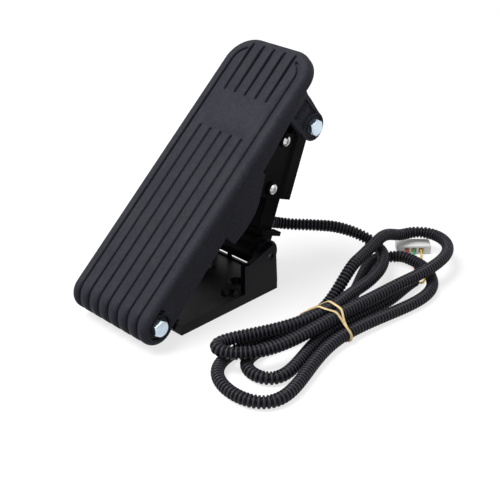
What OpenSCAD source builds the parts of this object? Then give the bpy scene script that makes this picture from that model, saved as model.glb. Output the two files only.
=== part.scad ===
// Foot pedal for an electric drive: a ribbed treadle hinged at its heel on a screwed-down base.
// A telescoping strut behind the treadle holds the return spring and the position sensor.
// The lead leaves the strut in a corrugated conduit, tied in a hank with a rubber band.
// Millimetres. X runs across the pedal, Y rearwards, Z up. The origin is on the underside of the
// base, midway between the two front mounting holes.

/* [Treadle] */
// Width of the treadle
treadle_w = 72; // [68:1:84]
// Distance from the heel bolt to the toe end, along the treadle
treadle_len = 196; // [190:1:210]
// Angle of the released treadle above the floor
incline = 41.35; // [38:0.05:44]
// Thickness of the top plate
plate_t = 4; // [3:0.5:5]
// Thickness of the side skirts
skirt_t = 3.5; // [2.5:0.5:4]
// Radius of the nose, from the heel bolt to the tread
nose_r = 12.5; // [12:0.1:14]
// Radius of the two toe corners, seen from above
toe_corner_r = 19.5; // [14:0.5:24]
// Number of grooves
groove_count = 7; // [5:2:7]
// Distance between grooves
groove_pitch = 9.3; // [8:0.1:9.6]
// Width of a groove at its bottom
groove_w = 1.4; // [0.8:0.1:2]
// Depth of a groove
groove_depth = 1.5; // [0.6:0.1:1.6]
// Start of the plain pad, from the heel bolt
pad_start = 125.5; // [110:0.5:140]
// Length of the plain pad
pad_len = 30; // [15:1:36]

/* [Base] */
// Width of the base plate
base_w = 62; // [60:1:62]
// Reach of the base plate in front of the front holes
base_front = 49.5; // [46:0.5:52]
// Reach of the base plate behind the front holes
base_rear = 36.6; // [36:0.2:44]
// Height of the base plate
base_h = 7; // [6:0.5:8]
// Thickness of the deck and the rim of the base plate
base_wall = 3; // [2:0.5:4]
// Distance between the front mounting holes
front_spacing = 44; // [40:1:46]
// Distance between the rear mounting holes
rear_spacing = 30; // [26:1:34]
// Distance from the front pair of mounting holes to the rear pair
hole_row_gap = 15; // [14:0.5:17]
// Diameter of the mounting holes
hole_d = 6.5; // [5:0.1:7]
// Diameter of the countersinks
sink_d = 12; // [10:0.5:13]
// Thickness of the two ears
ear_t = 4; // [3:0.5:5]
// Height of the heel bolt above the floor
heel_z = 17; // [17:0.5:20]
// Distance from the front holes to the heel bolt
heel_reach = 71; // [69:0.5:74]
// Distance from the front holes to the rear pivot
pivot_reach = 30.5; // [29.5:0.25:32]
// Height of the rear pivot
pivot_z = 26; // [25:0.25:28]

/* [Fasteners] */
// Diameter of the heel and toe bolts
bolt_d = 6; // [5:0.5:6]
// Width of the hexagon across its flats
hex_af = 10; // [9:0.5:11]
// Height of a bolt head
head_h = 4; // [3:0.5:5]
// Height of a nut
nut_h = 5; // [4:0.5:6]
// Thickness of a washer
washer_t = 1.2; // [0.8:0.2:1.6]
// Diameter of the washers at the heel
heel_washer_d = 16.6; // [14:0.2:17]
// Diameter of the washers at the toe
toe_washer_d = 14.8; // [13:0.2:16]
// Diameter of the rear pivot pin
pin_d = 5; // [4:0.25:6]
// Diameter of the heads of the cover screws
screw_head_d = 6.7; // [5.5:0.1:7]

/* [Strut] */
// Width of the arm
arm_w = 30; // [29:0.5:31]
// Thickness of the arm, front to rear
arm_t = 13.5; // [13:0.5:15]
// Length of the arm above the rear pivot
arm_len = 57; // [55:0.5:58]
// Width of the sleeve
sleeve_w = 41; // [41:0.5:44]
// Thickness of the sleeve, front to rear
sleeve_t = 31; // [30:0.5:33]
// Length of the sleeve below the toe bolt
sleeve_len = 53; // [50:0.5:54]
// Thickness of the sleeve's side cover
cover_t = 3; // [2:0.5:3.5]
// Diameter of the return spring
spring_d = 8; // [7:0.1:8.2]
// Wire of the return spring
spring_wire = 1; // [0.8:0.1:1.2]
// Turns of the return spring
spring_turns = 14; // [8:1:16]

/* [Lead] */
// Outer diameter of the corrugated conduit
conduit_d = 8.2; // [7:0.1:8.3]
// Distance between the ribs of the conduit
rib_pitch = 2.6; // [2:0.1:3.2]
// Depth of the ribs
rib_depth = 0.7; // [0.4:0.1:1]
// Wall of the conduit
conduit_wall = 0.6; // [0.4:0.1:0.8]
// Diameter of a single wire
wire_d = 1.5; // [1.2:0.1:1.6]
// Thickness of the rubber band
band_t = 0.9; // [0.5:0.1:0.9]
// Width of the connector
plug_w = 24; // [20:1:26]
// Height of the connector
plug_h = 6.5; // [5:0.5:6.5]

/* [Hidden] */

// clearances
press_slack = 0.02;   // a bush or pin pressed into its seat, per side
run_slack = 0.05;     // a bore that turns on its pin, per side
bolt_slack = 0.1;     // a bolt through a plain hole, per side
side_gap = 0.4;       // between faces that slide past each other sideways
slide_gap = 1.5;      // front and rear of the arm inside the sleeve: takes up the linkage's arc
fit_gap = 0.3;        // small parts set into a pocket
FINE = 64;
ROUND = 32;

// ---- treadle, in its own frame: X across, Y along the tread, Z out of the tread
half_w = treadle_w / 2;
inner_w = half_w - skirt_t;
deck_h = nose_r - plate_t;            // underside of the top plate
edge_r = plate_t;                     // rounding of the tread's long edges
corner_s = treadle_len - toe_corner_r;
nose_sweep = 160;                     // the nose wraps this far round the heel bolt
groove_flare = 0.9;                   // the shoulders of a groove open by this much each side
nose_deepen = 0.7;                    // the grooves are this much deeper round the nose
groove_stop = 2;                      // the middle grooves stop this far from the toe end
border_bend = 60;                     // the border grooves turn in by this angle
front_skirt_h = -8.9;
wing_from = 70;
wing_to = 98;
wing_h = -17.6;
rear_skirt_from = 116;
rear_skirt_h = -2;
lip_h = 5.2;
toe_s = 162;                          // toe bolt, along the tread
toe_h = -19.1;                        // toe bolt, below the heel bolt's plane
lug_r = 9.5;
lug_from = toe_s - 9.7;
lug_to = toe_s + 10.8;
panel_t = 1.2;                        // depth of the panel in each lug
panel_rim = 3;
disc_r = 24;
heel_seat = 3;                        // depth of the bolt's seat in the side of the heel
toe_seat = 1.6;
recess_r = 10.7;
recess_t = 2.5;
inner_boss_r = 8;
rib_t = 2;                            // ribs under the tread
rib_x = [-21.5, -7, 7, 21.5];
rib_from = 16;
rib_to = 86;
rib_h = 1.5;                          // lower edge of the ribs
rib_end_h = 6;                        // and at their ends
cross_rib_s = [40, 64];
long_rib_x = 26;
long_rib_h = 4;
bolt_hole_r = bolt_d / 2 + bolt_slack;
bush_r = bolt_d / 2 + 1.5;

// ---- hinge and strut axes in the side plane
heel_y = -heel_reach;
toe_y = heel_y + toe_s * cos(incline) - toe_h * sin(incline);
toe_z = heel_z + toe_s * sin(incline) + toe_h * cos(incline);
strut_lean = atan2(toe_y - pivot_reach, toe_z - pivot_z);
strut_len = norm([toe_y - pivot_reach, toe_z - pivot_z]);

// ---- base
ear_x = base_w / 2 - ear_t;
ear_from = 6.3;
ear_front_z = 27.4;
ear_rear_z = 34.6;
ear_corner_r = 1.8;
ear_draft = 1.6;                      // the rear edge leans in by this much
pin_sink = 2;                         // the pivot pin ends this deep in the ears
barrel_r = 7.3;
barrel_half = 26.5;
tongue_half = 24;
base_corner_r = 4;
boss_r = sink_d / 2 + 1;
tab_x = 14;
tab_w = 3.4;
tab_t = 1.4;
tab_z = 15.3;
rear_lip = 1.1;                       // height of the lip along the deck's rear edge

// ---- arm and sleeve, in the strut's frame: X across, Y front to rear, Z up the strut
hub_r = 9.9;
hub_ring_r = 11;                      // ring on the upper part of each end of the hub
hub_ring_t = 1.4;
ear_washer_t = 3.2;                   // between the hub and each ear
hub_half = ear_x - ear_washer_t - 2 * side_gap;
hub_bush_r = pin_d / 2 + 1.5;
ear_washer_r = 10;
arm_front = -1;
arm_rear = arm_front + arm_t;
arm_wall = 2;
collar_from = 11;
collar_to = 14;
collar_out = 5;
collar_front = 1.2;                   // the collar stands out this far in front
collar_rear = 4.5;                    // and behind
pocket_from = 21.5;
sleeve_front = -15;
sleeve_rear = sleeve_front + sleeve_t;
sleeve_top = 9;
cavity_top = 12;
eye_r = 8.5;
eye_half = 26;
lug_boss_x = eye_half + side_gap;
screw_depth = -4.4;
screw_t = [14, 46.7];
screw_boss_r = 4.6;
screw_d = 3;
screw_len = 10;
band_rear = 4;                        // the cover's sunk band ends here
band_sink = 1.6;
spring_x = -6;
guide_r = 2.5;
guide_len = 33;
spring_y = (arm_front + arm_rear) / 2;
holder_x = 4.5;
holder_w = 2;
holder_t = 5.5;
holder_len = 28;
magnet_len = 4;
board_t = 1.2;
board_len = 20;
board_w = 8;
board_z = 46;
chip = [1.5, 4.1, 3];
sleeve_half = sleeve_w / 2;
cavity_half = arm_w / 2 + side_gap + 0.1;

// ---- conduit
exit_x = 9;
exit_w = 17.6;                        // height of the outlet above the rear pivot
grommet_r = conduit_d / 2 + 1.1;
grommet_out = 2;
lead_gap = 0.2;                       // from the grommet to the conduit's end
conduit_r = conduit_d / 2;
layer = conduit_d + 0.7;              // height from one layer of the hank to the next
floor_z = conduit_r + 0.1;
top_z = floor_z + layer;
over_z = top_z + layer + 0.3;         // the big loop passes over the lead
hump = 1.9;                           // rise of the strands that pass over the wires
tie_y = 18;                           // the band ties the hank here
tie_lift = 1.2;                       // the band runs under the hank, which rises over it

// route of the lead from its outlet to the hank
lead_route = [[9, 57, 34.4], [11.5, 63, 32.4], [16, 69.5, 31], [21, 76.5, 30], [26, 84, 28.6],
    [30.5, 92, 26.6], [35.5, 99.5, 23.6], [41.5, 106, 20], [49, 110.3, 16.2], [58, 109.8, 13.5],
    [66, 105, 13.1], [73, 96.5, 13.1], [78.5, 86, 13.1], [82, 75, 13.1], [84.1, 65, 13.2],
    [85.6, 54, 13.5], [87.4, 44, 14.1], [89, 36, 14.4]];
// where the hank begins, and the end stretch that comes out of it
hank_start = [89.8, 28, 14.3];
tail_route = [[98.2, 26, 5.3], [98.4, 36, 4.6], [98.7, 52, 4.2], [98.9, 72, 4.2],
    [96, 92, 4.2], [95.2, 98, 4.2], [94.8, 104, 4.2]];
// routes of the three wires from the conduit's end to the connector
red_route = [[93.6, 104.4, 3.5], [91, 109, 1.6], [86, 116, 0.8], [80, 123.5, 0.8], [74, 128, 0.8],
    [68, 131.5, 1.6], [64.9, 134.6, 3.2], [62.7, 136.8, 3.2]];
green_route = [[95, 104.4, 5.4], [94.6, 110, 2.6], [90, 117.5, 0.8], [83, 124.5, 0.8],
    [77, 129.5, 0.8], [71, 134.5, 1.8], [68.4, 138.1, 3.2], [66.2, 140.3, 3.2]];
yellow_route = [[95.9, 104.4, 3.3], [97, 110, 1.2], [93, 118, 0.8], [85.6, 126, 0.8],
    [80, 131.5, 0.8], [74.5, 138, 2], [71.9, 141.6, 3.2], [69.7, 143.8, 3.2]];
plug_centre = [62, 144.5];
plug_turn = 45;
plug_d = 12;

// ------------------------------------------------------------------ helpers

module both_sides() {
    children();
    mirror([1, 0, 0]) children();
}

// cylinder along X between two places
module rod(r, from, to, fn = FINE) {
    translate([from, 0, 0]) rotate([0, 90, 0]) cylinder(r = r, h = to - from, $fn = fn);
}

// tube along X between two places
module pipe(r, bore, from, to) {
    translate([from, 0, 0]) rotate([0, 90, 0]) rotate_extrude($fn = FINE)
        translate([bore, 0]) square([r - bore, to - from]);
}

// a side profile, drawn in (Y, Z), given a thickness along X
module side_slab(from, to) {
    translate([from, 0, 0]) rotate([90, 0, 90]) linear_extrude(to - from) children();
}

module treadle_frame() {
    translate([0, heel_y, heel_z]) rotate([incline, 0, 0]) children();
}

module strut_frame() {
    translate([0, pivot_reach, pivot_z]) rotate([-strut_lean, 0, 0]) children();
}

// the strut's frame with Z measured down from the toe bolt
module sleeve_frame() {
    strut_frame() translate([0, 0, strut_len]) children();
}

module toe_frame() {
    treadle_frame() translate([0, toe_s, toe_h]) children();
}

function unit(v) = v / norm(v);
function sum(list, upto) = upto < 0 ? 0 : list[upto] + sum(list, upto - 1);

// point on a smooth curve through p1 and p2, with p0 before and p3 after
function between(p0, p1, p2, p3, t) =
    0.5 * (2 * p1 + (p2 - p0) * t + (2 * p0 - 5 * p1 + 4 * p2 - p3) * t * t
    + (3 * p1 - p0 - 3 * p2 + p3) * t * t * t);

// smooth curve through all points of a route, in steps of about one length
function smooth(route, step) = let (last = len(route) - 1) concat(
    [for (i = [0 : last - 1])
        let (p1 = route[i], p2 = route[i + 1],
             p0 = i > 0 ? route[i - 1] : 2 * p1 - p2,
             p3 = i < last - 1 ? route[i + 2] : 2 * p2 - p1,
             n = max(1, round(norm(p2 - p1) / step)))
        for (j = [0 : n - 1]) between(p0, p1, p2, p3, j / n)],
    [route[last]]);

function heading(path, i) = unit(path[min(i + 1, len(path) - 1)] - path[max(i - 1, 0)]);

// ring of points round a path, square to it
function ring_at(centre, along, r, sides) =
    let (side = unit(cross(along, [0, 0, 1])), up = cross(side, along))
    [for (k = [0 : sides - 1]) let (a = 360 * (k + 0.5) / sides)
        centre + r * (cos(a) * side + sin(a) * up)];

function skin(rings, sides, from, flip) = [for (i = [0 : rings - 2]) for (k = [0 : sides - 1])
    let (a = from + i * sides + k, b = from + i * sides + (k + 1) % sides)
    for (t = flip ? [[a, b, b + sides], [a, b + sides, a + sides]]
                  : [[a, b + sides, b], [a, a + sides, b + sides]]) t];

// solid tube along a path, with a radius for each ring
module cord(path, radii, sides) {
    last = len(path) - 1;
    points = [for (i = [0 : last]) each ring_at(path[i], heading(path, i), radii[i], sides)];
    caps = concat([for (k = [1 : sides - 2]) [0, k, k + 1]],
        [for (k = [1 : sides - 2]) let (e = last * sides) [e, e + k + 1, e + k]]);
    polyhedron(points = points, faces = concat(skin(last + 1, sides, 0, false), caps));
}

// ribbed hose with a bore: a crest and a valley for each rib
module ribbed_hose(path, bore_path, r, depth, bore, sides) {
    last = len(path) - 1;
    inner_last = len(bore_path) - 1;
    outer = [for (i = [0 : last])
        each ring_at(path[i], heading(path, i), i % 2 == 0 ? r : r - depth, sides)];
    inner = [for (i = [0 : inner_last])
        each ring_at(bore_path[i], heading(bore_path, i), bore, sides)];
    shift = len(outer);
    start = [for (k = [0 : sides - 1]) let (n = (k + 1) % sides)
        each [[k, n, shift + n], [k, shift + n, shift + k]]];
    e = last * sides;
    f = shift + inner_last * sides;
    end = [for (k = [0 : sides - 1]) let (n = (k + 1) % sides)
        each [[e + n, e + k, f + k], [e + n, f + k, f + n]]];
    polyhedron(points = concat(outer, inner),
        faces = concat(skin(last + 1, sides, 0, false), skin(inner_last + 1, sides, shift, true),
            start, end));
}

// least distance between points of a path that lie further apart along it than skip points
function least_gap(path, skip) = min([for (i = [0 : len(path) - skip - 2])
    for (j = [i + skip + 1 : len(path) - 1]) norm(path[i] - path[j])]);

function path_length(path) = sum([for (i = [1 : len(path) - 1]) norm(path[i] - path[i - 1])],
    len(path) - 2);

// height that eases from one key to the next; each key is [angle, height]
function eased(keys, a, i = 0) = a <= keys[i + 1][0] || i == len(keys) - 2
    ? let (t = (a - keys[i][0]) / (keys[i + 1][0] - keys[i][0]))
        keys[i][1] + (keys[i + 1][1] - keys[i][1]) * (1 - cos(180 * t)) / 2
    : eased(keys, a, i + 1);

// ------------------------------------------------------------------ hank

// lanes of the strands where the band ties them
lane_a = 89.8;
lane_b = 98.9;
lane_c = 78.1;
lane_d = 107.8;
lane_e = 88.6;
lane_f = 98.1;
FLAT = [[0, floor_z], [180, floor_z]];
// each half loop: from lane, to lane, reach (minus is towards the heel), swell, lean, heights
LOBES = [
    [lane_a, lane_b, -76, 7.7, -20.2, [[0, top_z], [180, top_z]]],
    [lane_b, lane_c, 134.8, 15.8, -15.3, [[0, top_z], [8, top_z], [30, top_z + hump],
        [44, top_z + hump], [115, top_z], [139, over_z], [157, over_z], [177, floor_z]]],
    [lane_c, lane_d, -92.6, 16.5, 10.8, FLAT],
    [lane_d, lane_e, 105, 20.3, -22.7, [[0, floor_z], [62, floor_z], [75, floor_z + hump],
        [94, floor_z + hump], [106, floor_z], [180, floor_z]]],
    [lane_e, lane_f, -70.3, 11, 4.5, FLAT]];

function lobe_point(lobe, a) =
    let (from = lobe[0], to = lobe[1], swell = 2.6 * lobe[3] * (to > from ? 1 : -1))
    [(from + to) / 2 - (to - from) / 2 * cos(a) + lobe[4] * sin(a) ^ 2
        - swell * sin(a) ^ 2 * cos(a),
     tie_y + lobe[2] * sin(a),
     eased(lobe[5], a) + tie_lift * abs(cos(a)) ^ 12];

LOOP_STEP = 7.5;   // 24 rings for each half loop
hank_path = concat([hank_start, [hank_start.x, (hank_start.y + tie_y) / 2, hank_start.z]],
    [for (lobe = LOBES) for (a = [0 : LOOP_STEP : 179]) lobe_point(lobe, a)],
    [[lane_f, tie_y, floor_z + tie_lift]], smooth(tail_route, 2 * conduit_d));

lead_from = arm_rear + grommet_out + lead_gap;
exit_point = [exit_x,
    pivot_reach + exit_w * sin(strut_lean) + lead_from * cos(strut_lean),
    pivot_z + exit_w * cos(strut_lean) - lead_from * sin(strut_lean)];
lead_points = concat([exit_point], lead_route, [hank_start]);
lead_path = smooth(lead_points, rib_pitch / 2);
bore_path = smooth(lead_points, 3 * rib_pitch);

echo(conduit_length = path_length(lead_path) + path_length(hank_path));
echo(ribs = (len(lead_path) - 1) / 2);
echo(hank_gap_to_itself = least_gap(smooth(hank_path, 3), 9) - conduit_d);
echo(lead_gap_to_hank = least_gap(smooth(concat(lead_points, hank_path), 3), 9) - conduit_d);

// ------------------------------------------------------------------ base

module countersunk_hole() {
    translate([0, 0, -1]) cylinder(d = hole_d, h = base_h + 2, $fn = FINE);
    translate([0, 0, base_h - (sink_d - hole_d) / 2])
        cylinder(d1 = hole_d, d2 = sink_d, h = (sink_d - hole_d) / 2, $fn = FINE);
    translate([0, 0, base_h - 0.001]) cylinder(d = sink_d, h = 1, $fn = FINE);
}

module at_holes() {
    for (side = [-1, 1]) {
        translate([side * front_spacing / 2, 0, 0]) children();
        translate([side * rear_spacing / 2, hole_row_gap, 0]) children();
    }
}

module base_outline(inset) {
    r = base_corner_r - min(inset, base_corner_r - 0.5);
    x = base_w / 2 - inset;
    difference() {
        translate([-x, -base_front + inset])
            square([2 * x, base_front + base_rear - 2 * inset]);
        for (side = [-1, 1])
            translate([side * (x - r), base_rear - inset - r])
                scale([side, 1]) difference() {
                    square(r + 1);
                    circle(r, $fn = ROUND);
                }
    }
}

module ear_profile() {
    corner = [base_rear - ear_draft - ear_corner_r, ear_rear_z - ear_corner_r];
    polygon(concat([[base_rear, 0], [base_rear, base_h]],
        [for (a = [0 : 15 : 105]) corner + ear_corner_r * [cos(a), sin(a)]],
        [[ear_from + 5, ear_front_z - 0.4], [ear_from, ear_front_z], [ear_from, 0]]));
}

// swept-up tongue between the deck and the hinge barrel
module tongue_profile() {
    under = heel_z - barrel_r;
    polygon([[heel_y, under], [heel_y + 12, under], [heel_y + 17, under - 3], [-base_front, 1],
        [-base_front + 2, 0], [-base_front + 5, 0], [-base_front + 5, base_h],
        [-base_front - 1, base_h + 2], [heel_y + 13, base_h + 6.5], [heel_y + 6, heel_z + 3.2],
        [heel_y, heel_z + 5]]);
}

module base_plate() {
    color([0.09, 0.09, 0.1]) difference() {
        union() {
            difference() {
                linear_extrude(base_h) base_outline(0);
                translate([0, 0, -1]) linear_extrude(base_h - base_wall + 1)
                    base_outline(base_wall);
            }
            at_holes() cylinder(r = boss_r, h = base_h - 0.5, $fn = FINE);
            both_sides() side_slab(ear_x, base_w / 2) ear_profile();
            // lip along the rear edge, and two tabs on it
            translate([-ear_x - 1, base_rear - 2, base_h - 1])
                cube([2 * ear_x + 2, 2, rear_lip + 1]);
            for (side = [-1, 1])
                translate([side * tab_x - tab_w / 2, base_rear - tab_t, base_h - 1])
                    cube([tab_w, tab_t, tab_z - base_h + 1]);
            side_slab(-tongue_half, tongue_half) tongue_profile();
            translate([0, heel_y, heel_z]) rod(barrel_r, -barrel_half, barrel_half);
            // stiffening webs under the deck
            for (x = [-9, 9])
                translate([x - 1, -base_front + 3, 0.5])
                    cube([2, base_front + base_rear - 6, base_h - 2]);
        }
        at_holes() countersunk_hole();
        translate([0, heel_y, heel_z])
            rod(bush_r + press_slack, -barrel_half - 1, barrel_half + 1);
        translate([0, pivot_reach, pivot_z]) rod(pin_d / 2 + press_slack, -base_w, base_w);
    }
}

module heel_bushes() {
    bush_len = 12;
    color([0.75, 0.6, 0.35]) translate([0, heel_y, heel_z]) both_sides()
        pipe(bush_r, bolt_d / 2 + run_slack, barrel_half - bush_len, barrel_half);
}

module rear_pivot_pin() {
    color([0.6, 0.6, 0.63]) translate([0, pivot_reach, pivot_z])
        rod(pin_d / 2, pin_sink - base_w / 2, base_w / 2 - pin_sink);
}

module pivot_washers() {
    color([0.1, 0.1, 0.11]) translate([0, pivot_reach, pivot_z]) both_sides()
        pipe(ear_washer_r, pin_d / 2 + run_slack, ear_x - side_gap / 2 - ear_washer_t,
            ear_x - side_gap / 2);
}

// ------------------------------------------------------------------ treadle

// profile of the tread's rounded edge: reach outwards, then height
module edge_profile(reach) {
    difference() {
        square([reach, plate_t]);
        translate([reach - edge_r, plate_t - edge_r]) difference() {
            square(edge_r + 1);
            circle(edge_r, $fn = ROUND);
        }
    }
}

module tread_slab() {
    middle = half_w - toe_corner_r;
    translate([0, 0, deck_h]) {
        both_sides() translate([0, corner_s, 0]) rotate([90, 0, 0])
            linear_extrude(corner_s) edge_profile(half_w);
        translate([-middle, corner_s, 0]) rotate([90, 0, 90])
            linear_extrude(2 * middle) edge_profile(toe_corner_r);
        both_sides() translate([middle, corner_s, 0])
            rotate_extrude(angle = 90, $fn = FINE) edge_profile(toe_corner_r);
    }
}

// nose wrapped round the heel bolt, open at the rear for the hinge tongue
module nose() {
    rotate([0, -90, 180]) rotate_extrude(angle = nose_sweep, $fn = FINE)
        translate([deck_h, 0]) for (side = [0, 1]) mirror([0, side])
            rotate(90) mirror([0, 1]) edge_profile(half_w);
}

module cheek() {
    translate([inner_w, 0, 0]) rotate([0, 90, 0]) rotate_extrude($fn = FINE)
        intersection() {
            square([nose_r, skirt_t]);
            union() {
                square([deck_h, skirt_t]);
                translate([deck_h, skirt_t - edge_r]) circle(edge_r, $fn = ROUND);
            }
        }
}

module skirt_profile() {
    polygon([[0, deck_h + 0.5], [0, -nose_r + 3.3], [10, front_skirt_h], [wing_from - 11, -7.2],
        [wing_from - 0.5, -6.2], [wing_from, wing_h + 1], [wing_from + 11, wing_h - 0.3],
        [wing_to - 5, wing_h + 0.3], [wing_to + 2, wing_h + 2.8], [rear_skirt_from, -5.1],
        [rear_skirt_from, rear_skirt_h], [lug_from - 1, 1.8], [lug_from, 1.7],
        [lug_to, 1.7], [lug_to + 0.8, lip_h], [corner_s, lip_h], [corner_s, deck_h + 0.5]]);
}

module lug_profile() {
    polygon([[lug_from, lip_h], [lug_from, toe_h + 1], [toe_s - lug_r, toe_h],
        [toe_s + lug_r, toe_h], [toe_s + lug_r, toe_h + 4], [lug_to, -1.7], [lug_to, lip_h]]);
    translate([toe_s, toe_h]) circle(lug_r, $fn = FINE);
}

module lug_panel_profile() {
    difference() {
        polygon([[lug_from + panel_rim, rear_skirt_h + 4], [lug_from + panel_rim, toe_h],
            [lug_to - panel_rim, toe_h], [lug_to - panel_rim, rear_skirt_h + 4]]);
        translate([toe_s, toe_h]) circle(lug_r - 0.4, $fn = FINE);
    }
}

// wall round the toe end
module toe_wall_outline(inset) {
    r = toe_corner_r - inset;
    middle = half_w - toe_corner_r;
    difference() {
        union() {
            translate([-middle, corner_s - 1]) square([2 * middle, r + 1]);
            for (side = [-1, 1]) translate([side * middle, corner_s]) circle(r, $fn = FINE);
            translate([-half_w + inset, corner_s - 1]) square([treadle_w - 2 * inset, 1]);
        }
        translate([-half_w - 1, corner_s - 3 * r]) square([treadle_w + 2, 3 * r - 1]);
    }
}

// half of a groove's section: out from its middle, then up from its floor
module groove_section() {
    top = groove_depth + 0.01;
    polygon([[0, 0], [groove_w / 2, 0], [groove_w / 2 + 0.15, groove_depth * 0.45],
        [groove_w / 2 + 0.4, groove_depth * 0.8], [groove_w / 2 + groove_flare, top],
        [groove_w / 2 + 2 * groove_flare, top + 1], [0, top + 1]]);
}

module groove(from, to, round_from, round_to) {
    translate([0, 0, nose_r - groove_depth]) {
        both_sides() translate([0, to, 0]) rotate([90, 0, 0])
            linear_extrude(to - from) groove_section();
        if (round_from)
            translate([0, from, 0]) rotate_extrude($fn = ROUND) groove_section();
        if (round_to)
            translate([0, to, 0]) rotate_extrude($fn = ROUND) groove_section();
    }
}

// follows the nose and cuts deeper towards its front
module nose_groove() {
    translate([0, nose_deepen, 0]) rotate([0, -90, 180]) rotate_extrude(angle = 180, $fn = FINE)
        translate([nose_r - groove_depth, 0]) rotate(-90) {
            groove_section();
            mirror([1, 0]) groove_section();
        }
}

module grooves() {
    last = (groove_count - 1) / 2;
    for (i = [-last : last]) {
        x = i * groove_pitch;
        border = abs(i) == last;
        translate([x, 0, 0]) {
            nose_groove();
            if (border) groove(0, corner_s, false, false);
            else {
                groove(0, pad_start, false, true);
                groove(pad_start + pad_len, treadle_len - groove_stop, true, true);
            }
        }
    }
    // the border grooves follow the toe corners
    middle = half_w - toe_corner_r;
    bend_r = last * groove_pitch - middle;
    both_sides() translate([middle, corner_s, nose_r - groove_depth]) {
        rotate_extrude(angle = border_bend, $fn = FINE) translate([bend_r, 0]) {
            groove_section();
            mirror([1, 0]) groove_section();
        }
        rotate([0, 0, border_bend]) translate([bend_r, 0, 0])
            rotate_extrude($fn = ROUND) groove_section();
    }
}

module underside_ribs() {
    for (x = rib_x)
        side_slab(x - rib_t / 2, x + rib_t / 2)
            polygon([[rib_from, deck_h + 0.5], [rib_from, rib_end_h], [rib_from + 10, rib_h],
                [rib_to - 8, rib_h], [rib_to, rib_end_h], [rib_to, deck_h + 0.5]]);
    for (s = cross_rib_s)
        translate([-inner_w - 0.5, s, rib_h])
            cube([2 * inner_w + 1, rib_t, deck_h - rib_h + 0.5]);
    // long ribs beside the strut
    for (side = [-1, 1])
        translate([side * long_rib_x - rib_t / 2, rib_to, long_rib_h])
            cube([rib_t, corner_s - rib_to, deck_h - long_rib_h + 0.5]);
}

module treadle_side() {
    difference() {
        union() {
            side_slab(inner_w, half_w) skirt_profile();
            side_slab(inner_w, half_w) lug_profile();
            cheek();
            // bosses that the strut and the hinge barrel run between
            rod(inner_boss_r, barrel_half + side_gap, inner_w + 1);
            translate([0, toe_s, toe_h]) rod(inner_boss_r, lug_boss_x, inner_w + 1);
        }
        side_slab(half_w - panel_t, half_w + 1) lug_panel_profile();
        // seats of the washers
        rod(heel_washer_d / 2 + fit_gap, half_w - heel_seat, half_w + 1);
        translate([0, toe_s, toe_h])
            rod(toe_washer_d / 2 + fit_gap, half_w - toe_seat, half_w + 1);
        // quarter ring sunk round the heel bolt, open towards a small notch
        intersection() {
            rod(recess_r, half_w - recess_t, half_w + 1);
            side_slab(half_w - recess_t, half_w + 1)
                polygon([[0, 0], [-recess_r - 2, -2], [-recess_r - 2, nose_r], [9.5, nose_r],
                    [9, 5]]);
        }
        side_slab(half_w - recess_t, half_w + 1)
            polygon([[4, 9.2], [9.4, 10.4], [10.2, 3.8], [8.2, 4.2]]);
    }
    // raised sector above the toe boss
    intersection() {
        side_slab(half_w - panel_t - 0.2, half_w - panel_t + 0.6) difference() {
            translate([toe_s, toe_h]) circle(disc_r - 6, $fn = FINE);
            translate([toe_s, toe_h]) circle(lug_r, $fn = FINE);
        }
        side_slab(inner_w, half_w) lug_panel_profile();
    }
}

module treadle() {
    color([0.16, 0.16, 0.17]) treadle_frame() difference() {
        union() {
            tread_slab();
            nose();
            both_sides() treadle_side();
            translate([0, 0, lip_h]) linear_extrude(deck_h - lip_h + 0.5) difference() {
                toe_wall_outline(0);
                toe_wall_outline(skirt_t);
            }
            underside_ribs();
        }
        grooves();
        rod(bolt_hole_r, -half_w - 1, half_w + 1);
        translate([0, toe_s, toe_h]) rod(bolt_hole_r, -half_w - 1, half_w + 1);
    }
}

// ------------------------------------------------------------------ bolts

module hexagon(h) {
    r = hex_af / 2 / cos(30);
    rotate([0, 90, 0]) intersection() {
        cylinder(r = r, h = h, $fn = 6);
        // chamfered corners
        cylinder(r1 = r + h * 1.6, r2 = r * 0.93, h = h, $fn = FINE);
    }
}

module cross_bolt(seat) {
    color([0.78, 0.8, 0.84]) union() {
        rod(bolt_d / 2, -seat - washer_t - nut_h - 2, seat + washer_t + 0.5);
        translate([seat + washer_t, 0, 0]) hexagon(head_h);
    }
}

module cross_nut(seat) {
    color([0.78, 0.8, 0.84]) difference() {
        mirror([1, 0, 0]) translate([seat + washer_t, 0, 0]) hexagon(nut_h);
        rod(bolt_d / 2 + press_slack, -seat - washer_t - nut_h - 1, -seat);
    }
}

module cross_washers(seat, d) {
    color([0.62, 0.62, 0.6]) both_sides() pipe(d / 2, bolt_hole_r, seat, seat + washer_t);
}

module heel_bolt() {
    treadle_frame() cross_bolt(half_w - heel_seat);
}

module heel_nut() {
    treadle_frame() cross_nut(half_w - heel_seat);
}

module heel_washers() {
    treadle_frame() cross_washers(half_w - heel_seat, heel_washer_d);
}

module toe_bolt() {
    toe_frame() cross_bolt(half_w - toe_seat);
}

module toe_nut() {
    toe_frame() cross_nut(half_w - toe_seat);
}

module toe_washers() {
    toe_frame() cross_washers(half_w - toe_seat, toe_washer_d);
}

// ------------------------------------------------------------------ arm

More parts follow.
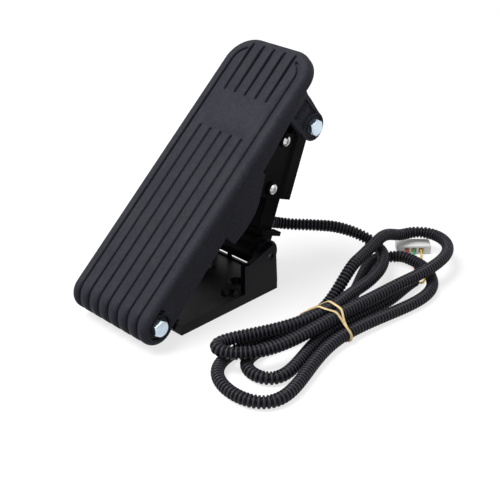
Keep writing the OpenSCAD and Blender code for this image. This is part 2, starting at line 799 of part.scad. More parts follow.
module arm_body() {
    rod(hub_r, -hub_half, hub_half);
    translate([-arm_w / 2, arm_front, 0]) cube([arm_w, arm_t, arm_len]);
    translate([-arm_w / 2 - collar_out, arm_front - collar_front, collar_from])
        cube([arm_w + 2 * collar_out, arm_t + collar_front + collar_rear,
            collar_to - collar_from]);
    // rings round the ends of the hub, open below
    both_sides() intersection() {
        rod(hub_ring_r, hub_half - 2 * hub_ring_t, hub_half - hub_ring_t);
        translate([0, -hub_ring_r - 1, -1]) cube([hub_half, 2 * hub_ring_r + 2, hub_ring_r + 2]);
    }
    // flanks that carry the collar down to the hub
    for (side = [-1, 1]) scale([side, 1, 1])
        translate([arm_w / 2, arm_front + 1, 0]) cube([3, arm_t - 2, collar_from + 0.5]);
}

module arm() {
    color([0.14, 0.14, 0.15]) strut_frame() difference() {
        arm_body();
        // pocket for the spring and the sensor
        translate([-arm_w / 2 + arm_wall, arm_front + arm_wall, pocket_from])
            cube([arm_w - 2 * arm_wall, arm_t - 2 * arm_wall, arm_len]);
        rod(hub_bush_r + press_slack, -hub_half - 1, hub_half + 1);
        // outlet of the lead, and the way to it from the pocket
        translate([exit_x, arm_rear + 1, exit_w]) rotate([90, 0, 0])
            cylinder(r = grommet_r - 1 + press_slack, h = arm_wall + 3, $fn = FINE);
        translate([exit_x - 2.5, arm_front + arm_wall, exit_w - 2.5])
            cube([5, arm_t - 2 * arm_wall, pocket_from - exit_w + 4]);
        // recess of the grommet's flange in the collar
        translate([exit_x, arm_rear + collar_rear + 1, exit_w]) rotate([90, 0, 0])
            cylinder(r = grommet_r + fit_gap, h = collar_rear + 1, $fn = FINE);
        // holes of the board screws
        for (z = [-1, 1])
            translate([0, spring_y, board_z + z * (board_len / 2 - 2.5)])
                rod(0.8, arm_w / 2 - arm_wall - 1, arm_w / 2 - 0.8, ROUND);
        // worked grooves along the front and rear faces
        for (x = [-7, 7])
            translate([x - 1.5, arm_rear - 0.8, pocket_from + 6]) cube([3, 2, arm_len]);
    }
}

module hub_bushes() {
    bush_len = 10;
    color([0.75, 0.6, 0.35]) strut_frame() both_sides()
        pipe(hub_bush_r, pin_d / 2 + run_slack, hub_half - bush_len, hub_half);
}

module conduit_grommet() {
    color([0.08, 0.08, 0.08]) strut_frame()
        translate([exit_x, arm_rear + grommet_out, exit_w]) rotate([90, 0, 0]) difference() {
            union() {
                cylinder(r = grommet_r, h = grommet_out, $fn = FINE);
                cylinder(r = grommet_r - 1, h = grommet_out + arm_wall, $fn = FINE);
            }
            translate([0, 0, -1])
                cylinder(r = conduit_r - rib_depth - conduit_wall, h = 10, $fn = FINE);
        }
}

module sensor_board() {
    color([0.1, 0.35, 0.2]) strut_frame() difference() {
        translate([arm_w / 2 - arm_wall - board_t, spring_y - board_w / 2,
            board_z - board_len / 2]) cube([board_t, board_w, board_len]);
        for (z = [-1, 1])
            translate([0, spring_y, board_z + z * (board_len / 2 - 2.5)])
                rod(0.85, 0, arm_w / 2, ROUND);
    }
}

module board_screws() {
    color([0.7, 0.7, 0.72]) strut_frame() for (z = [-1, 1])
        translate([0, spring_y, board_z + z * (board_len / 2 - 2.5)]) {
            rod(0.75, arm_w / 2 - arm_wall - board_t - 0.5, arm_w / 2 - 0.9, ROUND);
            rod(1.5, arm_w / 2 - arm_wall - board_t - 0.9, arm_w / 2 - arm_wall - board_t, ROUND);
        }
}

module hall_sensor() {
    color([0.08, 0.08, 0.08]) strut_frame()
        translate([arm_w / 2 - arm_wall - board_t - chip.x, spring_y - chip.y / 2,
            board_z - chip.z / 2]) cube(chip);
}

// ------------------------------------------------------------------ sleeve

module sleeve_box(from_x, to_x) {
    translate([from_x, sleeve_front, -sleeve_len])
        cube([to_x - from_x, sleeve_t, sleeve_len - sleeve_top]);
}

module sleeve_body() {
    body_to = sleeve_half - cover_t;
    color([0.13, 0.13, 0.14]) sleeve_frame() difference() {
        union() {
            sleeve_box(-sleeve_half, body_to);
            // eye of the toe bolt and its shoulders
            rod(eye_r, -eye_half, eye_half);
            side_slab(-sleeve_half, body_to)
                polygon([[-eye_r, 0], [sleeve_front, -sleeve_top - 3],
                    [sleeve_front, -sleeve_top - 5], [sleeve_rear, -sleeve_top - 5],
                    [sleeve_rear, -sleeve_top], [eye_r, 0]]);
            // screw posts behind the cover
            for (t = screw_t)
                translate([0, screw_depth, -t]) rod(screw_boss_r, 8, body_to, ROUND);
        }
        // the arm slides in here
        translate([-cavity_half, arm_front - slide_gap, -sleeve_len - 1])
            cube([2 * cavity_half, arm_t + 2 * slide_gap, sleeve_len - cavity_top + 1]);
        // lightening pockets in the front, open below
        for (x = [-15, -3])
            translate([x, sleeve_front + 2.5, -sleeve_len - 1])
                cube([10, -sleeve_front + arm_front - slide_gap - 5,
                    sleeve_len - cavity_top - 2]);
        rod(bush_r + press_slack, -eye_half - 1, eye_half + 1);
        for (t = screw_t)
            translate([0, screw_depth, -t])
                rod(screw_d / 2 - 0.25, body_to - screw_len, body_to + 1, ROUND);
        // seat of the spring's guide
        translate([spring_x, spring_y, -cavity_top - 1])
            cylinder(r = guide_r + press_slack, h = 4, $fn = ROUND);
        // notch that passes over the lead's outlet at full travel
        translate([exit_x - grommet_r - 1, arm_rear, -sleeve_len - 1])
            cube([cavity_half - exit_x + grommet_r + 1, slide_gap + 5, 7]);
        // slot of the magnet holder
        translate([holder_x - press_slack, spring_y - holder_t / 2 - press_slack,
            -cavity_top - 1])
            cube([holder_w + 2 * press_slack, holder_t + 2 * press_slack, 3]);
    }
}

module sleeve_cover() {
    from = sleeve_half - cover_t;
    color([0.15, 0.15, 0.16]) sleeve_frame() difference() {
        union() {
            difference() {
                sleeve_box(from + press_slack, sleeve_half);
                // sunk band between the screw bosses
                translate([sleeve_half - band_sink, sleeve_front - 1, -sleeve_len - 1])
                    cube([band_sink + 1, band_rear - sleeve_front + 1, sleeve_len + 2]);
                // slope from the band up to the rear part
                side_ramp();
            }
            for (t = screw_t)
                translate([0, screw_depth, -t]) rod(screw_boss_r, from + 0.5, sleeve_half);
        }
        for (t = screw_t)
            translate([0, screw_depth, -t])
                rod(screw_d / 2 + bolt_slack, from - 1, sleeve_half + 1, ROUND);
    }
}

module side_ramp() {
    translate([0, 0, -sleeve_len - 1]) linear_extrude(sleeve_len + 2)
        polygon([[sleeve_half - band_sink, band_rear - 1], [sleeve_half + 0.5, band_rear - 1],
            [sleeve_half + 0.5, band_rear + 3.4], [sleeve_half, band_rear + 3],
            [sleeve_half - band_sink, band_rear]]);
}

module cover_screws() {
    color([0.8, 0.8, 0.82]) sleeve_frame() for (t = screw_t)
        translate([0, screw_depth, -t]) difference() {
            union() {
                rod(screw_d / 2 - 0.3, sleeve_half - cover_t - screw_len + 0.5,
                    sleeve_half + 0.2, ROUND);
                translate([sleeve_half, 0, 0]) rotate([0, 90, 0])
                    rotate_extrude($fn = ROUND) intersection() {
                        translate([0, -screw_head_d * 0.6])
                            circle(r = screw_head_d * 0.6 + 2.1, $fn = FINE);
                        square([screw_head_d / 2, 2.1]);
                    }
            }
            // hexagon socket
            translate([sleeve_half + 0.7, 0, 0]) rotate([0, 90, 0])
                cylinder(r = 1.45, h = 3, $fn = 6);
        }
}

module toe_bush() {
    bush_len = 14;
    color([0.75, 0.6, 0.35]) sleeve_frame() both_sides()
        pipe(bush_r, bolt_d / 2 + run_slack, eye_half - bush_len, eye_half);
}

module spring_guide() {
    color([0.7, 0.7, 0.72]) sleeve_frame()
        translate([spring_x, spring_y, -cavity_top - guide_len])
            cylinder(r = guide_r, h = guide_len + 2.5, $fn = ROUND);
}

module return_spring() {
    coil_r = (spring_d - spring_wire) / 2;
    top = strut_len - cavity_top - spring_wire / 2 - fit_gap / 3;
    bottom = pocket_from + spring_wire / 2 + fit_gap / 3;
    steps = 8 * spring_turns;
    coil = [for (i = [0 : steps]) [spring_x + coil_r * cos(i * 45),
        spring_y + coil_r * sin(i * 45), bottom + (top - bottom) * i / steps]];
    echo(spring_gap_to_itself = (top - bottom) / spring_turns - spring_wire);
    color([0.75, 0.75, 0.78]) strut_frame() cord(coil, [for (p = coil) spring_wire / 2], 6);
}

module magnet_holder() {
    color([0.85, 0.85, 0.8]) sleeve_frame()
        translate([holder_x, spring_y - holder_t / 2, -cavity_top - holder_len])
            difference() {
                cube([holder_w, holder_t, holder_len + 1.8]);
                for (k = [0, 1])
                    translate([-1, holder_t / 2 - magnet_len / 2 - press_slack,
                        1.5 + k * (magnet_len + 1) - press_slack])
                        cube([holder_w + 2, magnet_len + 2 * press_slack,
                            magnet_len + 2 * press_slack]);
            }
}

module magnets() {
    color([0.5, 0.5, 0.52]) sleeve_frame() for (k = [0, 1])
        translate([holder_x + 0.1, spring_y - magnet_len / 2,
            -cavity_top - holder_len + 1.5 + k * (magnet_len + 1)])
            cube([holder_w - 0.2, magnet_len, magnet_len]);
}

// ------------------------------------------------------------------ lead, hank and connector

module conduit_lead() {
    color([0.1, 0.1, 0.11]) ribbed_hose(lead_path, bore_path, conduit_r, rib_depth,
        conduit_r - rib_depth - conduit_wall, 8);
}

module conduit_hank() {
    color([0.1, 0.1, 0.11]) cord(hank_path, [for (p = hank_path) conduit_r], 6);
}

// strands where the band goes round them: place across, height
band_strands = [[lane_c, floor_z], [lane_d, floor_z], [lane_b, top_z], [lane_a, top_z]];

module band_shape(r) {
    hull() for (s = band_strands) translate([s.x, s.y + tie_lift]) circle(r, $fn = 24);
}

module hank_band() {
    color([0.85, 0.72, 0.4]) for (y = [tie_y - 4.5, tie_y + 2.5])
        translate([0, y + 1, 0]) rotate([90, 0, 0]) linear_extrude(2) difference() {
            band_shape(conduit_r + fit_gap + band_t);
            band_shape(conduit_r + fit_gap);
        }
}

module wire(route) {
    path = smooth(route, 3.5);
    cord(path, [for (p = path) wire_d / 2], 6);
}

module wire_red() {
    color([0.8, 0.1, 0.1]) wire(red_route);
}

module wire_green() {
    color([0.1, 0.6, 0.3]) wire(green_route);
}

module wire_yellow() {
    color([0.9, 0.75, 0.1]) wire(yellow_route);
}

module plug_frame() {
    translate([plug_centre.x, plug_centre.y, 0]) rotate([0, 0, plug_turn]) children();
}

module connector_housing() {
    cell = 5;
    terminal = 2.6;
    color([0.85, 0.86, 0.84]) plug_frame() difference() {
        union() {
            translate([-plug_w / 2, -plug_d / 2, 0.05]) cube([plug_w, plug_d, plug_h]);
            // latch
            translate([-3, -plug_d / 2 + 2, plug_h]) cube([6, plug_d - 4, 1.4]);
        }
        for (k = [-1, 0, 1])
            translate([k * cell - terminal / 2, -plug_d / 2 - 1, 3.2 - terminal / 2])
                cube([terminal, plug_d + 2, terminal]);
    }
}

module connector_terminals() {
    cell = 5;
    color([0.8, 0.65, 0.3]) plug_frame() for (k = [-1, 0, 1])
        translate([k * cell - 1, -plug_d / 2 + 0.2, 2.2]) cube([2, plug_d - 2, 2]);
}

base_plate();
heel_bushes();
heel_bolt();
heel_nut();
heel_washers();
treadle();
toe_bolt();
toe_nut();
toe_washers();
toe_bush();
rear_pivot_pin();
hub_bushes();
pivot_washers();
arm();
sleeve_body();
sleeve_cover();
cover_screws();
spring_guide();
return_spring();
magnet_holder();
magnets();
sensor_board();
hall_sensor();
board_screws();
conduit_grommet();
conduit_lead();
conduit_hank();
hank_band();
wire_red();
wire_green();
wire_yellow();
connector_housing();
connector_terminals();
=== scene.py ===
"""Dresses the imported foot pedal: its plastics, metal and wiring, its lead tied in a hank,
the floor it lies on, the lights and the camera. Everything is in metres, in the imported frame:
X runs across the pedal, Y away from the driver and Z up."""

from math import copysign, cos, degrees, exp, pi, radians, sin, sqrt, tan

import bmesh
import bpy
from mathutils import Matrix, Vector
from mathutils.geometry import convex_hull_2d


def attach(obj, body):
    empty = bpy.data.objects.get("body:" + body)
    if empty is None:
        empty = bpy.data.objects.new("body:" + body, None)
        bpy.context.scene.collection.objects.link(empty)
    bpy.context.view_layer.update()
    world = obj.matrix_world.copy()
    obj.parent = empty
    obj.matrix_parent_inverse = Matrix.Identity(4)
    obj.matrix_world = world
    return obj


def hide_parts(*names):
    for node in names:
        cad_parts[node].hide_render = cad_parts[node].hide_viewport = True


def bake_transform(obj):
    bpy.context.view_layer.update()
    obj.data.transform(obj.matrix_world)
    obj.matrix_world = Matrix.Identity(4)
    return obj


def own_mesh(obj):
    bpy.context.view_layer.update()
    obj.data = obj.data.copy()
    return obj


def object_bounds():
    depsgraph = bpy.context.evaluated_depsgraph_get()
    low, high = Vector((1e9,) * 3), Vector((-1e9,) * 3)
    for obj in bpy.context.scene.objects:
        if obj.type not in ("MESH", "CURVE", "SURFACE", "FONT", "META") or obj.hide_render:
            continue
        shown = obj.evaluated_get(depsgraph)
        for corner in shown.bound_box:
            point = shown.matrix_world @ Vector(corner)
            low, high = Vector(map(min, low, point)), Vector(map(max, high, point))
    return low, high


bl_info = {
    "name": "Foot pedal",
    "version": (1, 0, 0),
    "blender": (4, 5, 0),
    "location": "3D View > Sidebar > Pedal",
    "description": "Dresses a hinged electronic foot pedal and lays out its lead",
    "category": "Object",
}

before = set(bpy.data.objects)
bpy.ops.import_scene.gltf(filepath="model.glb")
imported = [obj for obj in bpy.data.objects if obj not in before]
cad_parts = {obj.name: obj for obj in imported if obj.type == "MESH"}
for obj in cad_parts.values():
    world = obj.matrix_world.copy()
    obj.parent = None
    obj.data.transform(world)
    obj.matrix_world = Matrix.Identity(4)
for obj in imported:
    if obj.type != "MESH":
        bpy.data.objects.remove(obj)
CAD_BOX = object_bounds()

# ---------------- places

UP = Vector((0, 0, 1))


def in_metres(*places):
    """Places of a route, given in millimetres."""
    return tuple(tuple(round(v / 1000, 7) for v in place) for place in places)


# outlet of the lead in the arm, and the lead's route from there to the hank
EXIT = (0.009, 0.0506007, 0.0370369)
LEAD_ROUTE = in_metres(
    (9, 57, 34.4), (11.5, 63, 32.4), (16, 69.5, 31), (21, 76.5, 30),
    (26, 84, 28.6), (30.5, 92, 26.6), (35.5, 99.5, 23.6), (41.5, 106, 20), (49, 110.3, 16.2),
    (58, 109.8, 13.5), (66, 105, 13.1), (73, 96.5, 13.1), (78.5, 86, 13.1), (82, 75, 13.1),
    (84.1, 65, 13.2), (85.6, 54, 13.5), (87.4, 44, 14.1), (89, 36, 14.4))
HANK_START = (0.0898, 0.028, 0.0143)
# the end of the conduit, out of the hank
TAIL_ROUTE = in_metres(
    (98.2, 26, 5.3), (98.4, 36, 4.6), (98.7, 52, 4.2), (98.9, 72, 4.2),
    (96, 92, 4.2), (95.2, 98, 4.2), (94.8, 104, 4.2))
# the three wires, from the conduit's end to the connector
WIRE_ROUTES = {
    "red": in_metres(
        (93.6, 104.4, 3.5), (91, 109, 1.6), (86, 116, 0.8), (80, 123.5, 0.8),
        (74, 128, 0.8), (68, 131.5, 1.6), (64.9, 134.6, 3.2), (62.7, 136.8, 3.2)),
    "green": in_metres(
        (95, 104.4, 5.4), (94.6, 110, 2.6), (90, 117.5, 0.8), (83, 124.5, 0.8),
        (77, 129.5, 0.8), (71, 134.5, 1.8), (68.4, 138.1, 3.2), (66.2, 140.3, 3.2)),
    "yellow": in_metres(
        (95.9, 104.4, 3.3), (97, 110, 1.2), (93, 118, 0.8), (85.6, 126, 0.8),
        (80, 131.5, 0.8), (74.5, 138, 2), (71.9, 141.6, 3.2), (69.7, 143.8, 3.2)),
}
PLUG_CENTRE = Vector((0.062, 0.1445, 0.0))
PLUG_TURN = radians(45)
PLUG_SIZE = (0.024, 0.012, 0.0065)
CELL = 0.005

# the hank: lanes of its strands at the band, heights of its layers, and its half loops
CONDUIT_D = 0.0082
FLOOR_Z = CONDUIT_D / 2 + 0.0001
LAYER = CONDUIT_D + 0.0007
TOP_Z = FLOOR_Z + LAYER
OVER_Z = TOP_Z + LAYER + 0.0003
HUMP = 0.0019
TIE_Y = 0.018
TIE_LIFT = 0.0012
LANE_A, LANE_B, LANE_C = 0.0898, 0.0989, 0.0781
LANE_D, LANE_E, LANE_F = 0.1078, 0.0886, 0.0981
FLAT = ((0, FLOOR_Z), (180, FLOOR_Z))
# from lane, to lane, reach (minus is towards the heel), swell, lean, heights by angle
LOBES = (
    (LANE_A, LANE_B, -0.076, 0.0077, -0.0202, ((0, TOP_Z), (180, TOP_Z))),
    (LANE_B, LANE_C, 0.1348, 0.0158, -0.0153, (
        (0, TOP_Z), (8, TOP_Z), (30, TOP_Z + HUMP), (44, TOP_Z + HUMP), (115, TOP_Z),
        (139, OVER_Z), (157, OVER_Z), (177, FLOOR_Z))),
    (LANE_C, LANE_D, -0.0926, 0.0165, 0.0108, FLAT),
    (LANE_D, LANE_E, 0.105, 0.0203, -0.0227, (
        (0, FLOOR_Z), (62, FLOOR_Z), (75, FLOOR_Z + HUMP), (94, FLOOR_Z + HUMP),
        (106, FLOOR_Z), (180, FLOOR_Z))),
    (LANE_E, LANE_F, -0.0703, 0.011, 0.0045, FLAT),
)

# middles of the heel and toe bolts, and of the strut's lower pivot
HEEL = Vector((0.0, -0.071, 0.017))
TOE = Vector((0.0, 0.06323, 0.109688))
PIVOT = Vector((0.0, 0.0305, 0.026))

# the treadle's own frame: X across, Y along the tread from the heel bolt, Z out of the tread
TREADLE_FRAME = Matrix.Translation(HEEL) @ Matrix.Rotation(radians(41.35), 4, "X")
TREAD_TOP = 0.0125
TREAD_EDGE = 0.004
GROOVE_PITCH = 0.0093
GROOVE_DEPTH = 0.0015
# one side of a groove's section: out from its middle, and up in the treadle's frame
GROOVE_SIDE = [(out, up + TREAD_TOP - GROOVE_DEPTH) for out, up in (
    (0.0007, 0.0), (0.00085, 0.00068), (0.0011, 0.0012), (0.0016, 0.00151), (0.0025, 0.00251))]
GROOVE_SECTION = GROOVE_SIDE + [(-out, up) for out, up in reversed(GROOVE_SIDE)]
# the middle grooves are filled from PLUG_FROM, and cut again from just before it to GROOVE_END
PLUG_FROM = 0.188
PLUG_HALF = 0.0019
GROOVE_FROM = PLUG_FROM - 0.0002
GROOVE_END = 0.1903
TOE_CORNER = Vector((0.0165, 0.1765, 0.0))
TOE_CORNER_R = 0.0195
BORDER_BEND = 60
# a plug lies this far under the tread's face, and points closer than MERGE become one
SUNK = 1e-5
MERGE = 2e-7

# the two cross bolts: middle, and distance of the washers' outer faces from it
BOLTS = {"heel": (HEEL, 0.0342), "toe": (TOE, 0.0356)}
# their hexagons: across flats, share of it that is the round face, slope of the chamfer
HEX_FLATS = 0.01
HEX_FACE = 0.93
HEX_SLOPE = tan(radians(42))
HEAD_H = 0.004
NUT_H = 0.005
BOLT_R = 0.003
BOLT_PAST_NUT = 0.002
THREAD_ROOM = 5e-5
SMALL_CHAMFER = 0.0004

# the return spring, between the strut's two pivots
STRUT_UP = (TOE - PIVOT).normalized()
STRUT_BACK = Vector((0.0, STRUT_UP.z, -STRUT_UP.y))
SPRING_X = -0.006
SPRING_BACK = 0.00575
SPRING_FROM = 0.0216
SPRING_TO = 0.0778
SPRING_WIRE_R = 0.0005
SPRING_COIL_R = 0.0032

# ---------------- settings


def measure(name, description, default):
    """A length that a user may change."""
    return bpy.props.FloatProperty(
        name=name, description=description, default=default, unit="LENGTH", precision=5)


class CordSettings(bpy.types.PropertyGroup):
    rib_pitch: measure("Rib pitch", "Distance between the conduit's ribs", 0.0026)
    rib_depth: measure("Rib depth", "Depth of the valleys between the ribs", 0.0011)
    wire_diameter: measure("Wire diameter", "Diameter of a single insulated wire", 0.0015)
    band_width: measure("Band width", "Width of the rubber band", 0.0016)
    band_thickness: measure("Band thickness", "Thickness of the rubber band", 0.0008)
    spring_turns: bpy.props.IntProperty(
        name="Spring turns", description="Turns of the return spring", default=14)


def tint(name, description, default):
    """A colour that a user may change."""
    return bpy.props.FloatVectorProperty(
        name=name, description=description, subtype="COLOR", default=default, min=0, max=1)


class FinishSettings(bpy.types.PropertyGroup):
    treadle: tint("Treadle", "Colour of the treadle's grained plastic", (0.0175, 0.018, 0.0242))
    base: tint("Base", "Colour of the base's glossy plastic", (0.0018, 0.0017, 0.0034))
    strut: tint("Strut", "Colour of the strut's satin plastic", (0.0025, 0.0025, 0.0032))
    conduit: tint("Conduit", "Colour of the corrugated conduit", (0.026, 0.0255, 0.033))
    band: tint("Rubber band", "Colour of the rubber band", (0.6, 0.45, 0.22))
    connector: tint("Connector", "Colour of the connector's nylon", (0.74, 0.745, 0.73))
    red: tint("Red wire", "Colour of the supply wire", (0.6, 0.025, 0.025))
    green: tint("Green wire", "Colour of the signal wire", (0.015, 0.32, 0.12))
    yellow: tint("Yellow wire", "Colour of the return wire", (0.75, 0.5, 0.03))


class StageSettings(bpy.types.PropertyGroup):
    lens: bpy.props.FloatProperty(
        name="Lens", description="Focal length of the camera, in millimetres", default=80.67)
    camera_place: bpy.props.FloatVectorProperty(
        name="Camera place", description="Where the camera stands", subtype="TRANSLATION",
        unit="LENGTH", default=(0.48264, -0.4408, 0.37185))
    camera_turn: bpy.props.FloatVectorProperty(
        name="Camera turn", description="Which way the camera looks", subtype="EULER",
        unit="ROTATION",
        default=(radians(62.421), 0.0, radians(45.003)))
    floor: tint("Floor", "Colour of the floor", (0.9, 0.9, 0.9))
    floor_return: bpy.props.FloatProperty(
        name="Floor return", description="Share of its light that the floor throws back up",
        default=0.5, min=0, max=1)
    floor_glow: bpy.props.FloatProperty(
        name="Floor glow", description="Share of plain white in the floor as the camera sees it",
        default=0.72, min=0, max=1)
    room: bpy.props.FloatProperty(
        name="Room light", description="Strength of the even light of the room", default=0.4)
    overhead: bpy.props.FloatProperty(
        name="Overhead light", description="Power of the softbox above, in watts", default=50.0)
    side: bpy.props.FloatProperty(
        name="Side light", description="Power of the softbox on the right, in watts", default=2.0)


# ---------------- shader helpers


class Recipe:
    """Adds nodes to a material or a node group. An input is a value or another socket."""

    def __init__(self, tree):
        self.tree = tree

    def add(self, kind, inputs=(), **settings):
        node = self.tree.nodes.new(kind)
        for name, value in settings.items():
            setattr(node, name, value)
        for name, value in dict(inputs).items():
            self.feed(node.inputs[name], value)
        return node

    def feed(self, socket, value):
        if isinstance(value, bpy.types.NodeSocket):
            self.tree.links.new(value, socket)
        else:
            socket.default_value = value

    def math(self, operation, a, b=0.0, clamp=False):
        node = self.add("ShaderNodeMath", operation=operation, use_clamp=clamp)
        self.feed(node.inputs[0], a)
        self.feed(node.inputs[1], b)
        return node.outputs[0]

    def noise(self, scale, detail=2.0, roughness=0.5, distortion=0.0, where=None):
        where = where or self.add("ShaderNodeTexCoord").outputs["Object"]
        return self.add("ShaderNodeTexNoise", {
            "Vector": where, "Scale": scale, "Detail": detail, "Roughness": roughness,
            "Distortion": distortion}).outputs["Fac"]

    def span(self, value, low, high, to_low=0.0, to_high=1.0):
        return self.add("ShaderNodeMapRange", {
            "Value": value, "From Min": low, "From Max": high, "To Min": to_low,
            "To Max": to_high}).outputs["Result"]

    def mix(self, share, first, second):
        node = self.add("ShaderNodeMix", data_type="RGBA")
        self.feed(node.inputs["Factor"], share)
        self.feed(node.inputs[6], first)
        self.feed(node.inputs[7], second)
        return node.outputs[2]

    def blend(self, share, first, second, end):
        """Mixes two shaders and leads them to the end node of that name."""
        node = self.add("ShaderNodeMixShader", {"Fac": share})
        self.feed(node.inputs[1], first)
        self.feed(node.inputs[2], second)
        self.feed(self.tree.nodes[end].inputs["Surface"], node.outputs["Shader"])

    def group(self, tree, **inputs):
        node = self.add("ShaderNodeGroup", node_tree=tree)
        for name, value in inputs.items():
            self.feed(node.inputs[name.replace("_", " ").capitalize()], value)
        return node.outputs


def effect(name, inputs, outputs):
    """An empty node group with its sockets, its recipe, and its two end nodes."""
    tree = bpy.data.node_groups.new(name, "ShaderNodeTree")
    for socket, default in inputs.items():
        tree.interface.new_socket(
            name=socket, in_out="INPUT", socket_type="NodeSocketFloat").default_value = default
    for socket in outputs:
        kind = "NodeSocketVector" if socket == "Normal" else "NodeSocketFloat"
        tree.interface.new_socket(name=socket, in_out="OUTPUT", socket_type=kind)
    recipe = Recipe(tree)
    return tree, recipe, recipe.add("NodeGroupInput").outputs, recipe.add("NodeGroupOutput").inputs


def make_grain():
    """Fine grain of a textured mould: a height, and a speckle that follows it."""
    tree, r, given, out = effect(
        "mould_grain", {"Scale": 1500.0, "Coarse scale": 380.0},
        ["Height", "Speckle"])
    fine = r.noise(given["Scale"], 3.0, 0.6)
    coarse = r.noise(given["Coarse scale"], 2.0, 0.5)
    height = r.math("ADD", r.math("MULTIPLY", fine, 0.75), r.math("MULTIPLY", coarse, 0.25))
    r.feed(out["Height"], height)
    r.feed(out["Speckle"], r.span(height, 0.4, 0.62))
    return tree


def make_soft_edge():
    """Rounded edges: a normal that turns over each edge, and a mask of where it does."""
    tree, r, given, out = effect(
        "soft_edge", {"Radius": 0.0006},
        ["Normal", "Mask"])
    bevel = r.add("ShaderNodeBevel", {"Radius": given["Radius"]}, samples=6)
    flat = r.add("ShaderNodeNewGeometry").outputs["Normal"]
    dot = r.add("ShaderNodeVectorMath", operation="DOT_PRODUCT")
    r.feed(dot.inputs[0], bevel.outputs["Normal"])
    r.feed(dot.inputs[1], flat)
    r.feed(out["Normal"], bevel.outputs["Normal"])
    r.feed(out["Mask"], r.span(dot.outputs["Value"], 0.99, 0.8))
    return tree


def make_wear():
    """Rubbed edges: the edge mask broken up by patches of use."""
    tree, r, given, out = effect(
        "rubbed_edges", {"Edge": 0.0, "Patch scale": 90.0, "Amount": 0.5},
        ["Mask"])
    patches = r.span(r.noise(given["Patch scale"], 4.0, 0.65), 0.38, 0.66)
    worn = r.math("MULTIPLY", given["Edge"], patches)
    r.feed(out["Mask"], r.math("MULTIPLY", worn, given["Amount"], clamp=True))
    return tree


def make_dust():
    """Dust that settles on faces turned upwards, thicker in some places."""
    tree, r, given, out = effect(
        "settled_dust", {"Scale": 60.0, "Amount": 0.15}, ["Mask"])
    up = r.add("ShaderNodeSeparateXYZ", {
        "Vector": r.add("ShaderNodeNewGeometry").outputs["Normal"]}).outputs["Z"]
    facing = r.span(up, 0.15, 0.9)
    drift = r.span(r.noise(given["Scale"], 5.0, 0.7), 0.35, 0.7)
    r.feed(out["Mask"], r.math(
        "MULTIPLY", r.math("MULTIPLY", facing, drift), given["Amount"], clamp=True))
    return tree


def make_smears():
    """Smears left by hands and shoes, as a roughness between two values."""
    tree, r, given, out = effect(
        "smears", {"Scale": 28.0, "Dull": 0.6, "Bright": 0.4}, ["Roughness"])
    cloud = r.noise(given["Scale"], 5.0, 0.62, 0.8)
    share = r.span(cloud, 0.36, 0.66)
    spread = r.math("SUBTRACT", given["Dull"], given["Bright"])
    r.feed(out["Roughness"], r.math(
        "ADD", given["Bright"], r.math("MULTIPLY", share, spread)))
    return tree


def make_brushing():
    """Fine turned or drawn marks on metal, as a height and as a tint."""
    tree, r, given, out = effect(
        "metal_marks", {"Scale": 900.0, "Stretch": 12.0},
        ["Height", "Tint"])
    where = r.add("ShaderNodeTexCoord").outputs["Object"]
    mapping = r.add("ShaderNodeMapping", {"Vector": where})
    stretch = r.add("ShaderNodeCombineXYZ", {"X": 1.0, "Y": given["Stretch"], "Z": 1.0})
    r.feed(mapping.inputs["Scale"], stretch.outputs["Vector"])
    marks = r.noise(given["Scale"], 3.0, 0.6, where=mapping.outputs["Vector"])
    r.feed(out["Height"], marks)
    r.feed(out["Tint"], r.span(r.noise(220.0, 3.0, 0.6, where=where), 0.35, 0.65))
    return tree


EFFECTS = {}


def shared_effects():
    """The effects, built once and placed in each material with its own values."""
    if not EFFECTS:
        EFFECTS.update(
            grain=make_grain(), edge=make_soft_edge(), wear=make_wear(), dust=make_dust(),
            smears=make_smears(), marks=make_brushing())
    return EFFECTS


def new_material(name):
    material = bpy.data.materials.new(name)
    material.use_nodes = True
    recipe = Recipe(material.node_tree)
    return material, recipe, material.node_tree.nodes["Principled BSDF"].inputs


def bumped(recipe, height, depth, strength, normal=None):
    inputs = {"Height": height, "Distance": depth, "Strength": strength}
    if normal is not None:
        inputs["Normal"] = normal
    return recipe.add("ShaderNodeBump", inputs).outputs["Normal"]


def smear(recipe, shader, scale, dull, bright):
    """Gives a finish a roughness with smears."""
    recipe.feed(shader["Roughness"], recipe.group(
        shared_effects()["smears"], scale=scale, dull=dull, bright=bright)["Roughness"])


def lighter(colour, times, lift=0.0):
    return tuple(min(1.0, c * times + lift) for c in colour[:3]) + (1.0,)


def moulding(name, colour, *, grain, coarse, dull, bright, depth=0.00003, edge_radius=0.0003,
             wear=0.1, dust=0.03, speckle=1.06, specular=0.5, smear_scale=28.0, valley_shade_height=None):
    """A moulded plastic with its grain, softened and rubbed edges, smears and dust.

    Its last argument names a height on the mesh, and where that height is low, shade is painted
    into the colour, down to 0.08 of it."""
    effects = shared_effects()
    material, r, shader = new_material(name)
    grain_out = r.group(effects["grain"], scale=grain, coarse_scale=coarse)
    edge = r.group(effects["edge"], radius=edge_radius)
    rubbed = r.group(effects["wear"], edge=edge["Mask"], amount=wear)["Mask"]
    settled = r.group(effects["dust"], amount=dust)["Mask"]
    body = r.mix(grain_out["Speckle"], lighter(colour, 1 / speckle ** 0.5),
                 lighter(colour, speckle ** 0.5))
    body = r.mix(rubbed, body, lighter(colour, 2.4, 0.004))
    body = r.mix(settled, body, (0.22, 0.215, 0.21, 1.0))
    # painted shade: where the named height is low, as deep in the conduit's valleys, the colour
    # drops to 0.08 of itself in place of the shade that falls there
    if valley_shade_height:
        height = r.add("ShaderNodeAttribute", attribute_name=valley_shade_height).outputs["Fac"]
        body = r.mix(r.span(height, 0.5, 1.0), lighter(colour, 0.08), body)
    r.feed(shader["Base Color"], body)
    smear(r, shader, smear_scale, dull, bright)
    r.feed(shader["Normal"], bumped(r, grain_out["Height"], depth, 1.0, edge["Normal"]))
    shader["Specular IOR Level"].default_value = specular
    return material


